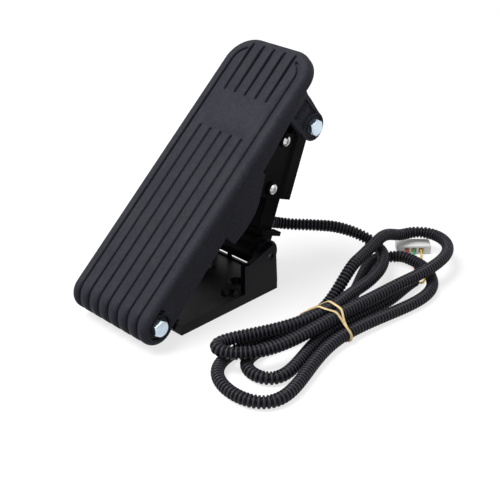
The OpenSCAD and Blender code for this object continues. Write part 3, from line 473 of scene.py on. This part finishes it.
def metal(name, colour, shade, *, rough, depth, edge_radius, stretch=12.0, scale=900.0):
    """A plated or turned metal, with its marks and a slightly uneven colour."""
    effects = shared_effects()
    material, r, shader = new_material(name)
    marks = r.group(effects["marks"], scale=scale, stretch=stretch)
    edge = r.group(effects["edge"], radius=edge_radius)
    r.feed(shader["Base Color"], r.mix(marks["Tint"], colour, shade))
    smear(r, shader, 160.0, rough + 0.08, rough - 0.06)
    r.feed(shader["Normal"], bumped(r, marks["Height"], depth, 0.6, edge["Normal"]))
    shader["Metallic"].default_value = 1.0
    return material


# ---------------- materials


def treadle_plastic(finish):
    return moulding(
        "treadle grained plastic", finish.treadle, grain=1300.0, coarse=420.0, depth=0.00014,
        dull=0.66, bright=0.54, edge_radius=0.0007, wear=0.35, speckle=1.7, specular=0.06,
        smear_scale=22.0)


def base_plastic(finish):
    return moulding(
        "base glossy plastic", finish.base, grain=700.0, coarse=90.0, dull=0.44, bright=0.34,
        wear=0.25, dust=0.008, speckle=1.2, specular=0.1, smear_scale=40.0)


def strut_plastic(finish):
    return moulding(
        "strut satin plastic", finish.strut, grain=1500.0, coarse=300.0, depth=0.00007,
        dull=0.42, bright=0.28, edge_radius=0.0005, wear=0.4, dust=0.012, speckle=1.4,
        specular=0.03, smear_scale=36.0)


def conduit_plastic(finish):
    # painted shade in the valleys between the ribs, following the rib height on the mesh
    return moulding(
        "conduit satin plastic", finish.conduit, grain=900.0, coarse=150.0, dull=0.4,
        bright=0.3, edge_radius=0.00015, dust=0.012, speckle=1.25, specular=0.09,
        smear_scale=60.0, valley_shade_height="rib")


def connector_nylon(finish):
    return moulding("pale connector nylon", finish.connector, grain=1200.0, coarse=160.0,
                    dull=0.6, bright=0.48, specular=0.2)


def soft_rubber():
    return moulding(
        "black rubber", (0.017, 0.017, 0.018), grain=1100.0, coarse=260.0, depth=0.00005,
        dull=0.75, bright=0.6, edge_radius=0.0005, wear=0.2, dust=0.08, speckle=1.4)


def holder_plastic():
    return moulding("natural plastic", (0.7, 0.69, 0.62), grain=900.0, coarse=200.0, dull=0.5,
                    bright=0.4, edge_radius=0.0002, wear=0.05)


def circuit_board():
    """Green board with copper tracks under its lacquer."""
    material, r, shader = new_material("green circuit board")
    where = r.add("ShaderNodeTexCoord").outputs["Object"]
    tracks = r.add("ShaderNodeTexVoronoi", {"Vector": where, "Scale": 620.0},
                   feature="DISTANCE_TO_EDGE", distance="MANHATTAN").outputs["Distance"]
    r.feed(shader["Base Color"], r.mix(
        r.span(tracks, 0.08, 0.1), (0.05, 0.3, 0.12, 1.0), (0.015, 0.11, 0.045, 1.0)))
    smear(r, shader, 200.0, 0.4, 0.28)
    return material


def zinc_plate():
    return metal("blue white zinc", (0.63, 0.74, 0.83, 1.0), (0.5, 0.6, 0.7, 1.0),
                 rough=0.3, depth=0.00004, edge_radius=0.0004)


def bright_steel():
    return metal("bright steel", (0.62, 0.62, 0.62, 1.0), (0.48, 0.48, 0.49, 1.0),
                 rough=0.24, depth=0.00002, edge_radius=0.0002, stretch=1.0, scale=1400.0)


def sintered_bronze():
    return metal("sintered bronze", (0.5, 0.34, 0.16, 1.0), (0.33, 0.22, 0.1, 1.0),
                 rough=0.42, depth=0.00004, edge_radius=0.0002, stretch=1.0, scale=1800.0)


def crimped_brass():
    return metal("crimped brass", (0.72, 0.52, 0.2, 1.0), (0.5, 0.34, 0.12, 1.0),
                 rough=0.28, depth=0.00003, edge_radius=0.0001, stretch=6.0, scale=1200.0)


def nickel_plate():
    return metal("nickel plate", (0.5, 0.49, 0.47, 1.0), (0.4, 0.39, 0.38, 1.0),
                 rough=0.22, depth=0.00001, edge_radius=0.0001, stretch=1.0)


def wire_covering(name, colour):
    """Soft extruded covering of a wire, slightly uneven along its length."""
    material, r, shader = new_material(name)
    cloud = r.span(r.noise(260.0, 3.0, 0.55), 0.35, 0.7)
    r.feed(shader["Base Color"], r.mix(cloud, lighter(colour, 0.75), lighter(colour, 1.12)))
    smear(r, shader, 240.0, 0.45, 0.3)
    r.feed(shader["Normal"], bumped(r, r.noise(1800.0, 2.0), 0.00002, 0.5))
    return material


def band_rubber(finish):
    """Natural rubber: tan, a little see-through where thin, with fine cut marks."""
    material, r, shader = new_material("tan band rubber")
    tone = r.span(r.noise(170.0, 4.0, 0.6), 0.32, 0.68)
    body = r.mix(tone, lighter(finish.band, 0.72), lighter(finish.band, 1.2))
    r.feed(shader["Base Color"], body)
    smear(r, shader, 200.0, 0.62, 0.46)
    marks = r.group(shared_effects()["marks"], scale=700.0, stretch=0.3)
    r.feed(shader["Normal"], bumped(r, marks["Height"], 0.00008, 0.8))
    shader["Subsurface Weight"].default_value = 0.12
    shader["Subsurface Radius"].default_value = (0.0012, 0.0007, 0.0003)
    shader["Subsurface Scale"].default_value = 1.0
    return material


# ---------------- mesh helpers


def smooth_through(route, step):
    """Smooth curve through every point of a route, in steps of about one length."""
    points = [Vector(p) for p in route]
    last = len(points) - 1
    curve = []
    for i in range(last):
        p1, p2 = points[i], points[i + 1]
        p0 = points[i - 1] if i > 0 else 2 * p1 - p2
        p3 = points[i + 2] if i < last - 1 else 2 * p2 - p1
        pieces = max(1, round((p2 - p1).length / step))
        for j in range(pieces):
            t = j / pieces
            curve.append(0.5 * (
                2 * p1 + (p2 - p0) * t + (2 * p0 - 5 * p1 + 4 * p2 - p3) * t * t
                + (3 * p1 - p0 - 3 * p2 + p3) * t ** 3))
    return curve + [points[last]]


def eased(keys, angle):
    """Height that eases from one key of angle and height to the next."""
    for (a0, z0), (a1, z1) in zip(keys, keys[1:]):
        if angle <= a1:
            break
    t = (angle - a0) / (a1 - a0)
    return z0 + (z1 - z0) * (1 - cos(pi * t)) / 2


def lobe_point(lobe, angle):
    """Point of a half loop of the hank, 0 at its first lane and 180 at its second."""
    start, end, reach, swell, lean, keys = lobe
    s, c = sin(radians(angle)), cos(radians(angle))
    bulge = copysign(2.6 * swell, end - start)
    return Vector((
        (start + end) / 2 - (end - start) / 2 * c + lean * s * s - bulge * s * s * c,
        TIE_Y + reach * s,
        eased(keys, angle) + TIE_LIFT * abs(c) ** 12))


def even_steps(points, count):
    """The same line with count + 1 points at even distances along it."""
    ends = [0.0]
    for a, b in zip(points, points[1:]):
        ends.append(ends[-1] + (b - a).length)
    even, i = [], 0
    for k in range(count + 1):
        at = ends[-1] * k / count
        while i < len(points) - 2 and ends[i + 1] < at:
            i += 1
        share = (at - ends[i]) / (ends[i + 1] - ends[i])
        even.append(points[i].lerp(points[i + 1], min(1.0, share)))
    return even


def conduit_line():
    """Centre line of the whole conduit: the lead, the hank's half loops and the tail."""
    line = smooth_through((EXIT,) + LEAD_ROUTE + (HANK_START,), 0.0012)
    line.append(Vector((LANE_A, (HANK_START[1] + TIE_Y) / 2, HANK_START[2])))
    for lobe in LOBES:
        line += [lobe_point(lobe, angle) for angle in range(0, 180, 2)]
    line.append(Vector((LANE_F, TIE_Y, FLOOR_Z + TIE_LIFT)))
    return line + smooth_through(TAIL_ROUTE, 0.002)


def directions(line):
    """Each point of a line with a side and an up direction, carried along without twist."""
    side = None
    for i, point in enumerate(line):
        along = (line[min(i + 1, len(line) - 1)] - line[max(i - 1, 0)]).normalized()
        if side is None:
            side = along.cross(UP).normalized()
        side = (side - along * side.dot(along)).normalized()
        yield point, side, side.cross(along)


def circle(centre, radius, side, up, sides):
    """Points round a centre, from its side direction towards its up direction."""
    turns = (2 * pi * k / sides for k in range(sides))
    return [centre + radius * (cos(a) * side + sin(a) * up) for a in turns]


def skin(name, rings, filled=True, looped=False, smooth=True):
    """A skin over rings of points: open, filled at both ends, or looped back to its start."""
    count, total = len(rings[0]), sum(len(ring) for ring in rings)
    faces = []
    for i in range(len(rings) if looped else len(rings) - 1):
        for k in range(count):
            a, b = i * count + k, i * count + (k + 1) % count
            faces.append((a, (a + count) % total, (b + count) % total, b))
    if filled and not looped:
        faces += [tuple(range(count)), tuple(reversed(range(total - count, total)))]
    return new_piece(name, [point for ring in rings for point in ring], faces, smooth)


def tube(name, line, radii, sides, filled=True):
    """A round tube along a line, with a radius for each of its points."""
    return skin(name, [circle(point, radius, side, up, sides) for (point, side, up), radius
                       in zip(directions(line), radii)], filled)


def put(name, data):
    """A new object in the scene."""
    thing = bpy.data.objects.new(name, data)
    bpy.context.scene.collection.objects.link(thing)
    return thing


def new_piece(name, verts, faces, smooth=True):
    mesh = bpy.data.meshes.new(name)
    mesh.from_pydata([tuple(v) for v in verts], [], faces)
    mesh.validate()
    mesh.shade_smooth() if smooth else mesh.shade_flat()
    return put(name, mesh)


def dress(piece, material):
    piece.data.materials.clear()
    piece.data.materials.append(material)
    return piece


def join(pieces, name):
    """Joins pieces of one material into one."""
    with bpy.context.temp_override(active_object=pieces[0], selected_editable_objects=pieces):
        bpy.ops.object.join()
    pieces[0].name = name
    return pieces[0]


def repaint(node, material):
    """Gives a CAD node a finished material in all its slots."""
    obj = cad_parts[node]
    if not obj.data.materials:
        obj.data.materials.append(material)
    for slot in obj.material_slots:
        slot.material = material


def apply_all(piece):
    bpy.context.view_layer.objects.active = piece
    for modifier in list(piece.modifiers):
        bpy.ops.object.modifier_apply(modifier=modifier.name)


def cut_or_add(piece, tool, operation, solver="MANIFOLD"):
    """Cuts a tool out of a piece, or adds it, and takes the tool away."""
    change = piece.modifiers.new("change", "BOOLEAN")
    change.operation = operation
    change.solver = solver
    change.object = tool
    apply_all(piece)
    bpy.data.objects.remove(tool)


def reshape(piece, change):
    """Runs a change on the points and faces of a piece."""
    shape = bmesh.new()
    shape.from_mesh(piece.data)
    change(shape)
    shape.to_mesh(piece.data)
    shape.free()
    return piece


def face_outwards(piece):
    return reshape(piece, lambda shape: bmesh.ops.recalc_face_normals(shape, faces=shape.faces))


# ---------------- treadle and bolts


class PEDAL_OT_treadle(bpy.types.Operator):
    """Finishes the grooves of the treadle at its toe end"""

    bl_idname = "pedal.treadle"
    bl_label = "Treadle"

    def execute(self, context):
        treadle = put("treadle_grooved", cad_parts["treadle"].data.copy())
        reshape(treadle, lambda shape: bmesh.ops.remove_doubles(
            shape, verts=shape.verts, dist=MERGE))
        middles = [i * GROOVE_PITCH for i in range(-2, 3)]
        cut_or_add(treadle, join([self.plug(x) for x in middles], "plugs"), "UNION")
        cuts = [self.border_turn(side) for side in (-1, 1)]
        cuts += [self.groove_end(x) for x in middles]
        cut_or_add(treadle, join(cuts, "cuts"), "DIFFERENCE")
        treadle.data.shade_smooth()
        treadle.data.set_sharp_from_angle(angle=radians(28))
        dress(treadle, treadle_plastic(context.scene.pedal_finish))
        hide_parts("treadle")
        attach(treadle, "treadle")
        return {"FINISHED"}

    def tool(self, name, rings):
        """A closed bar over rings of points in the treadle's own frame."""
        placed = [[TREADLE_FRAME @ point for point in ring] for ring in rings]
        return face_outwards(skin(name, placed, smooth=False))

    def plug(self, middle):
        """Fills a middle groove's open end, up to just below the tread's rounded edge."""
        rings = []
        for k in range(5):
            x = middle + PLUG_HALF * (k / 2 - 1)
            beside = max(0.0, abs(x) - TOE_CORNER.x)
            ring = [Vector((x, PLUG_FROM, TREAD_TOP - SUNK))]
            for step in range(9):
                a = radians(90 * step / 8)
                reach = TOE_CORNER_R - TREAD_EDGE + (TREAD_EDGE - SUNK) * sin(a)
                ring.append(Vector((
                    x, TOE_CORNER.y + sqrt(reach ** 2 - beside ** 2),
                    TREAD_TOP - TREAD_EDGE + (TREAD_EDGE - SUNK) * cos(a))))
            ring.append(Vector((x, PLUG_FROM, TREAD_TOP - TREAD_EDGE + 10 * SUNK)))
            rings.append(ring)
        return self.tool("plug", rings)

    def border_turn(self, side):
        """Bar that cuts a border groove's turn round a toe corner."""
        corner = Vector((side * TOE_CORNER.x, TOE_CORNER.y, 0.0))
        rings = []
        for step in range(-1, 25):
            a = radians(BORDER_BEND * step / 24)
            out = Vector((side * cos(a), sin(a), 0.0))
            place = corner + (3 * GROOVE_PITCH - TOE_CORNER.x) * out
            rings.append([place + out * x + Vector((0, 0, z)) for x, z in GROOVE_SECTION])
        return self.tool("border_turn", rings)

    def groove_end(self, x):
        """Bar with a round end that cuts the last stretch of a middle groove."""
        turns = [pi * (1 - step / 16) for step in range(17)]
        return self.tool("groove_end", [
            [Vector((x - reach, GROOVE_FROM, height))]
            + [Vector((x + reach * cos(a), GROOVE_END + reach * sin(a), height))
               for a in turns]
            + [Vector((x + reach, GROOVE_FROM, height))] for reach, height in GROOVE_SIDE])


class PEDAL_OT_bolts(bpy.types.Operator):
    """Makes the heel and toe bolts with their nuts: chamfered hexagons on a plain shank"""

    bl_idname = "pedal.bolts"
    bl_label = "Bolts and nuts"

    def execute(self, context):
        zinc = zinc_plate()
        for name, (middle, seat) in BOLTS.items():
            head = self.hexagon(name + "_head", middle, seat, 1, HEAD_H)
            shank = self.shank(name + "_shank", middle, -seat - NUT_H - BOLT_PAST_NUT, seat)
            bolt = dress(join([head, shank], name + "_hex_bolt"), zinc)
            nut = self.hexagon(name + "_hex_nut", middle, seat, -1, NUT_H, BOLT_R + THREAD_ROOM)
            dress(nut, zinc)
            for piece, node in ((bolt, name + "_bolt"), (nut, name + "_nut")):
                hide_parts(node)
                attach(piece, "treadle")
        return {"FINISHED"}

    def hexagon(self, name, middle, seat, side, height, bore=0.0):
        """A hexagon with a round chamfered face on a washer, with or without a bore."""
        flat = HEX_FLATS / 2
        turns = []
        for a in (2 * pi * k / 72 for k in range(72)):
            edge = flat / cos((a + pi / 6) % (pi / 3) - pi / 6)
            slope = (edge - flat * HEX_FACE) * HEX_SLOPE
            stops = [(0.0, edge), (height - slope, edge), (height, flat * HEX_FACE),
                     (height, bore + SMALL_CHAMFER)]
            if bore:
                stops += [(height - SMALL_CHAMFER, bore), (0.0, bore)]
            turns.append([self.place(middle, side * (seat + out), r, a) for out, r in stops])
        return self.finish(name, list(zip(*turns)), 20, looped=bool(bore))

    def shank(self, name, middle, start, end):
        rings = [[self.place(middle, x, r, 2 * pi * k / 32) for k in range(32)]
                 for x, r in ((start, BOLT_R - SMALL_CHAMFER), (start + SMALL_CHAMFER, BOLT_R),
                              (end, BOLT_R))]
        return self.finish(name, rings, 30)

    def place(self, middle, x, r, a):
        return middle + Vector((x, r * cos(a), r * sin(a)))

    def finish(self, name, rings, sharp, looped=False):
        piece = face_outwards(skin(name, rings, looped=looped))
        piece.data.set_sharp_from_angle(angle=radians(sharp))
        return piece


# ---------------- wiring


# one rib: share of the pitch, and height from the valley at 0 to the crest at 1
RIB_SHAPE = ((0.0, 0.0), (0.2, 0.0), (0.32, 0.62), (0.46, 0.96), (0.6, 1.0), (0.74, 0.96),
             (0.88, 0.62))
RIB_STEPS = 50
CONDUIT_SIDES = 18
CONDUIT_WALL = 0.0006
BORE_DEPTH = 0.006


def length_of(line):
    return sum((b - a).length for a, b in zip(line, line[1:]))


class PEDAL_OT_conduit(bpy.types.Operator):
    """Lays the corrugated conduit from the strut through its hank to its open end"""

    bl_idname = "pedal.conduit"
    bl_label = "Corrugated conduit"

    def execute(self, context):
        settings = context.scene.pedal_cords
        line = conduit_line()
        ribs = round(length_of(line) / settings.rib_pitch)
        fine = even_steps(line, ribs * RIB_STEPS)
        valley = CONDUIT_D / 2 - settings.rib_depth
        places, radii, heights = [], [], []
        for rib in range(ribs):
            for share, height in RIB_SHAPE:
                places.append(fine[rib * RIB_STEPS + round(share * RIB_STEPS)])
                radii.append(CONDUIT_D / 2 - settings.rib_depth * (1 - height))
                heights += [height] * CONDUIT_SIDES
        places.append(fine[-1])
        radii.append(valley)
        heights += [0.0] * CONDUIT_SIDES
        conduit = tube("conduit", places, radii, CONDUIT_SIDES, filled=False)
        # the rib height goes on the mesh, and the conduit's plastic paints shade into the valleys
        # from it
        conduit.data.attributes.new("rib", "FLOAT", "POINT").data.foreach_set("value", heights)
        self.open_end(conduit, places, valley)
        dress(conduit, conduit_plastic(context.scene.pedal_finish))
        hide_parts("conduit_lead", "conduit_hank")
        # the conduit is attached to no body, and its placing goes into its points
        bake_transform(conduit)
        return {"FINISHED"}

    def open_end(self, conduit, places, radius):
        """Turns the tube in at its open end, so that its wall and bore show."""
        along = (places[-1] - places[-1 - len(RIB_SHAPE)]).normalized()
        side = along.cross(UP).normalized()
        bore = radius - CONDUIT_WALL
        rings = [circle(places[-1] + along * shift, r, side, side.cross(along), CONDUIT_SIDES)
                 for shift, r in ((0.0, radius), (0.0, bore), (-BORE_DEPTH, bore),
                                  (-BORE_DEPTH, 0.0002))]
        # the end carries no rib height, so its rim and bore take the painted valley shade all over
        join([conduit, skin("conduit_end", rings, filled=False)], "conduit")


class PEDAL_OT_wires(bpy.types.Operator):
    """Lays the three insulated wires from the conduit's end to the connector"""

    bl_idname = "pedal.wires"
    bl_label = "Wires"

    def execute(self, context):
        settings = context.scene.pedal_cords
        finish = context.scene.pedal_finish
        for colour, route in WIRE_ROUTES.items():
            line = smooth_through(route, 0.0008)
            wire = tube("wire_" + colour + "_cover", line,
                        [settings.wire_diameter / 2] * len(line), 14)
            dress(wire, wire_covering(colour + " wire covering", getattr(finish, colour)))
            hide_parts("wire_" + colour)
            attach(wire, "base")
        return {"FINISHED"}


# the band's rounds: place along the hank, skew, bow, and rise over the other round
BAND_ROUNDS = ((-0.0025, -0.002, -0.001, 0.0), (0.00065, 0.00185, 0.0045, 0.0008))
# its section: share of the width, and share of the thickness
BAND_SECTION = ((-0.5, 0.0), (0.5, 0.0), (0.5, 0.85), (0.3, 1.0), (-0.3, 1.0), (-0.5, 0.85))


class PEDAL_OT_band(bpy.types.Operator):
    """Ties the hank with a rubber band that goes round it twice"""

    bl_idname = "pedal.band"
    bl_label = "Rubber band"

    def execute(self, context):
        settings = context.scene.pedal_cords
        rounds = [self.one_round(*course, settings) for course in BAND_ROUNDS]
        band = join(rounds, "rubber_band")
        dress(band, band_rubber(context.scene.pedal_finish))
        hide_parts("hank_band")
        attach(band, "base")
        return {"FINISHED"}

    def outline(self, gap):
        """Tight outline round the four outermost strands, from its leftmost point."""
        points = [
            (point.x, point.z) for x, z in (
                (LANE_C, FLOOR_Z), (LANE_D, FLOOR_Z), (LANE_B, TOP_Z), (LANE_A, TOP_Z))
            for point in circle(Vector((x, 0, z + TIE_LIFT)), CONDUIT_D / 2 + gap,
                                Vector((1, 0, 0)), UP, 48)]
        hull = [points[i] for i in convex_hull_2d(points)]
        first = hull.index(min(hull))
        return [Vector((x, 0.0, z)) for x, z in hull[first:] + hull[:first]]

    def one_round(self, offset, skew, bow, over, settings):
        hull = self.outline(0.0001)
        line = even_steps(hull + [hull[0]], 120)[:-1]
        rings = []
        for i, point in enumerate(line):
            along = (line[(i + 1) % len(line)] - line[i - 1]).normalized()
            out = Vector((along.z, 0.0, -along.x))
            turn = 2 * pi * i / len(line)
            y = (TIE_Y + offset + skew * cos(turn) + bow * sin(turn) ** 2
                 + 0.0003 * sin(5 * turn))
            # the second round lies on the first where they cross
            off_cross = (degrees(turn) - 180) / 30
            point = point + out * over * exp(-off_cross ** 2)
            thin = settings.band_thickness * (0.86 + 0.1 * sin(3 * turn + offset * 900))
            rings.append([
                point + out * rise * thin
                + Vector((0.0, y + across * settings.band_width, 0.0))
                for across, rise in BAND_SECTION])
        return skin("band_round", rings, looped=True)


class PEDAL_OT_spring(bpy.types.Operator):
    """Winds the return spring inside the strut, with closed end turns"""

    bl_idname = "pedal.spring"
    bl_label = "Return spring"

    def execute(self, context):
        turns = context.scene.pedal_cords.spring_turns
        foot = PIVOT + STRUT_UP * SPRING_FROM + STRUT_BACK * SPRING_BACK
        foot.x = SPRING_X
        height = SPRING_TO - SPRING_FROM - 2 * SPRING_WIRE_R
        steps = 24 * turns
        line = []
        for i in range(steps + 1):
            share, a = i / steps, 2 * pi * turns * i / steps
            # the first and last turn lie nearly closed
            open_share = min(1.0, max(0.0, (share * turns - 0.8) / (turns - 1.6)))
            rise = SPRING_WIRE_R + height * (0.04 * share + 0.96 * open_share)
            line.append(foot + STRUT_UP * rise + Vector((SPRING_COIL_R * cos(a), 0, 0))
                        + STRUT_BACK * SPRING_COIL_R * sin(a))
        spring = tube("spring", line, [SPRING_WIRE_R] * len(line), 10)
        dress(spring, bright_steel())
        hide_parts("return_spring")
        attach(spring, "sleeve")
        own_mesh(spring)
        return {"FINISHED"}


class PEDAL_OT_connector(bpy.types.Operator):
    """Builds the connector's housing, with its cells, latch and grip ribs"""

    bl_idname = "pedal.connector"
    bl_label = "Connector"

    def execute(self, context):
        width, depth, height = PLUG_SIZE
        foot = height - 0.0002
        # the body, a raised collar at the wires' side, the latch, and grip ribs on both ends
        blocks = [((-width / 2, -depth / 2, 0.00005), (width / 2, depth / 2, height + 0.00005),
                   0.0005),
                  ((-width / 2 + 0.001, -0.0032, foot),
                   (width / 2 - 0.001, -0.002, height + 0.0007), 0.0002),
                  ((-0.003, -depth / 2 + 0.002, foot), (0.003, depth / 2 - 0.002, height + 0.0013),
                   0.0004)]
        for x in (side * (width / 2 - 0.0015 - 0.0014 * k) for side in (-1, 1) for k in range(3)):
            blocks.append(((x - 0.0004, -0.0012, foot),
                           (x + 0.0004, depth / 2 - 0.001, height + 0.0005), 0.00015))
        housing = join([self.block(*block) for block in blocks], "connector_shell")
        for k in (-1, 0, 1):
            cell = self.block((k * CELL - 0.0017, -depth / 2 - 0.002, 0.0015),
                              (k * CELL + 0.0017, -depth / 2 + 0.0035, 0.0049), 0.0003)
            cut_or_add(housing, cell, "DIFFERENCE", "EXACT")
        dress(housing, connector_nylon(context.scene.pedal_finish))
        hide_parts("connector_housing")
        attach(housing, "base")
        return {"FINISHED"}

    def block(self, low, high, round_by):
        place = Matrix.Translation(PLUG_CENTRE) @ Matrix.Rotation(PLUG_TURN, 4, "Z")
        corners = [place @ Vector((x, y, z)) for x in (low[0], high[0])
                   for y in (low[1], high[1]) for z in (low[2], high[2])]
        piece = new_piece("connector_block", corners, [
            (0, 1, 3, 2), (4, 6, 7, 5), (0, 4, 5, 1), (2, 3, 7, 6), (0, 2, 6, 4),
            (1, 5, 7, 3)], smooth=False)
        bevel = piece.modifiers.new("rounding", "BEVEL")
        bevel.width = round_by
        bevel.segments = 3
        apply_all(piece)
        return piece


# ---------------- finishes


class PEDAL_OT_plastics(bpy.types.Operator):
    """Gives the base and the strut their moulded plastics"""

    bl_idname = "pedal.plastics"
    bl_label = "Moulded plastics"

    def execute(self, context):
        finish = context.scene.pedal_finish
        base = base_plastic(finish)
        for node in ("base_plate", "pivot_washers", "heel_washers", "toe_washers"):
            repaint(node, base)
        strut = strut_plastic(finish)
        for node in ("arm", "sleeve_body", "sleeve_cover", "hall_sensor"):
            repaint(node, strut)
        repaint("conduit_grommet", soft_rubber())
        repaint("magnet_holder", holder_plastic())
        return {"FINISHED"}


class PEDAL_OT_metals(bpy.types.Operator):
    """Gives the pivot pin, screws, bushes and terminals their metals"""

    bl_idname = "pedal.metals"
    bl_label = "Metals"

    def execute(self, context):
        zinc, steel, bronze = zinc_plate(), bright_steel(), sintered_bronze()
        repaint("rear_pivot_pin", zinc)
        for node in ("cover_screws", "spring_guide", "board_screws"):
            repaint(node, steel)
        for node in ("heel_bushes", "toe_bush", "hub_bushes"):
            repaint(node, bronze)
        repaint("connector_terminals", crimped_brass())
        repaint("magnets", nickel_plate())
        repaint("sensor_board", circuit_board())
        return {"FINISHED"}


# ---------------- stage


FLOOR_HALF = 3.0
AIM_HEIGHT = 0.04


class PEDAL_OT_camera(bpy.types.Operator):
    """Stands the camera where the pedal is seen from its right front"""

    bl_idname = "pedal.camera"
    bl_label = "Camera"

    def execute(self, context):
        stage = context.scene.pedal_stage
        camera = put("camera", bpy.data.cameras.new("camera"))
        camera.data.lens = stage.lens
        camera.data.sensor_width = 36.0
        camera.data.clip_start = 0.02
        camera.location = stage.camera_place
        camera.rotation_euler = stage.camera_turn
        context.scene.camera = camera
        return {"FINISHED"}


class PEDAL_OT_stage(bpy.types.Operator):
    """Lays the pale floor, hangs the soft lights and whitens the room"""

    bl_idname = "pedal.stage"
    bl_label = "Floor and lights"

    def execute(self, context):
        stage = context.scene.pedal_stage
        self.floor(stage)
        self.room(context.scene, stage)
        middle = (Vector(CAD_BOX[0]) + Vector(CAD_BOX[1])) / 2
        middle.z = AIM_HEIGHT
        for name, shift, size, power in (
                ("overhead_light", (-0.45, -0.75, 1.5), 1.3, stage.overhead),
                ("side_light", (0.85, 0.25, 0.45), 0.5, stage.side)):
            self.softbox(name, middle + Vector(shift), middle, size, power)
        context.scene.view_settings.view_transform = "Standard"
        return {"FINISHED"}

    def floor(self, stage):
        corners = [(-FLOOR_HALF, -FLOOR_HALF, 0), (FLOOR_HALF, -FLOOR_HALF, 0),
                   (FLOOR_HALF, FLOOR_HALF, 0), (-FLOOR_HALF, FLOOR_HALF, 0)]
        floor = new_piece("floor", corners, [(0, 1, 2, 3)])
        material = bpy.data.materials.new("pale floor")
        material.use_nodes = True
        r = Recipe(material.node_tree)
        material.node_tree.nodes.remove(material.node_tree.nodes["Principled BSDF"])
        seen = seen_directly(r)
        matte = r.add("ShaderNodeBsdfDiffuse", {"Color": r.mix(
            seen, lighter(stage.floor, stage.floor_return), lighter(stage.floor, 1.0))})
        white = r.add("ShaderNodeEmission", {"Color": (1, 1, 1, 1), "Strength": 1.0})
        r.blend(r.math("MULTIPLY", seen, stage.floor_glow), matte.outputs["BSDF"],
                white.outputs["Emission"], "Material Output")
        floor.data.materials.append(material)

    def room(self, scene, stage):
        world = bpy.data.worlds.new("room")
        world.use_nodes = True
        scene.world = world
        r = Recipe(world.node_tree)
        backdrop = r.add("ShaderNodeBackground", {"Color": (1, 1, 1, 1), "Strength": 1.0})
        even = world.node_tree.nodes["Background"]
        even.inputs["Color"].default_value = (1.0, 1.0, 1.0, 1.0)
        even.inputs["Strength"].default_value = stage.room
        r.blend(seen_directly(r), even.outputs["Background"], backdrop.outputs["Background"],
                "World Output")

    def softbox(self, name, place, aim, size, power):
        light = bpy.data.lights.new(name, "AREA")
        light.shape = "DISK"
        light.size = size
        light.energy = power
        lamp = put(name, light)
        lamp.location = place
        lamp.rotation_euler = (place - aim).to_track_quat("Z", "Y").to_euler()


def seen_directly(r):
    """1 for a ray from the camera, and for one that comes by a mirror or through glass."""
    rays = r.add("ShaderNodeLightPath").outputs
    seen = r.math("MAXIMUM", rays["Is Camera Ray"], rays["Is Transmission Ray"])
    return r.math("MAXIMUM", seen, rays["Is Glossy Ray"])


# ---------------- panel and main


PIECES = (PEDAL_OT_camera, PEDAL_OT_connector, PEDAL_OT_conduit, PEDAL_OT_wires, PEDAL_OT_band,
          PEDAL_OT_treadle, PEDAL_OT_bolts, PEDAL_OT_spring, PEDAL_OT_plastics,
          PEDAL_OT_metals, PEDAL_OT_stage)


class PEDAL_PT_pieces(bpy.types.Panel):
    """Lists the pieces of the pedal"""

    bl_label = "Foot pedal"
    bl_idname = "PEDAL_PT_pieces"
    bl_space_type = "VIEW_3D"
    bl_region_type = "UI"
    bl_category = "Pedal"

    def draw(self, context):
        for piece in PIECES:
            self.layout.operator(piece.bl_idname)


SETTINGS = {"pedal_cords": CordSettings, "pedal_finish": FinishSettings,
            "pedal_stage": StageSettings}
CLASSES = tuple(SETTINGS.values()) + PIECES + (PEDAL_PT_pieces,)


def register():
    for cls in CLASSES:
        bpy.utils.register_class(cls)
    for name, cls in SETTINGS.items():
        setattr(bpy.types.Scene, name, bpy.props.PointerProperty(type=cls))


def unregister():
    for name in SETTINGS:
        delattr(bpy.types.Scene, name)
    for cls in reversed(CLASSES):
        bpy.utils.unregister_class(cls)


def main():
    register()
    for piece in PIECES:
        group, name = piece.bl_idname.split(".")
        getattr(getattr(bpy.ops, group), name)()


if __name__ == "__main__":
    main()
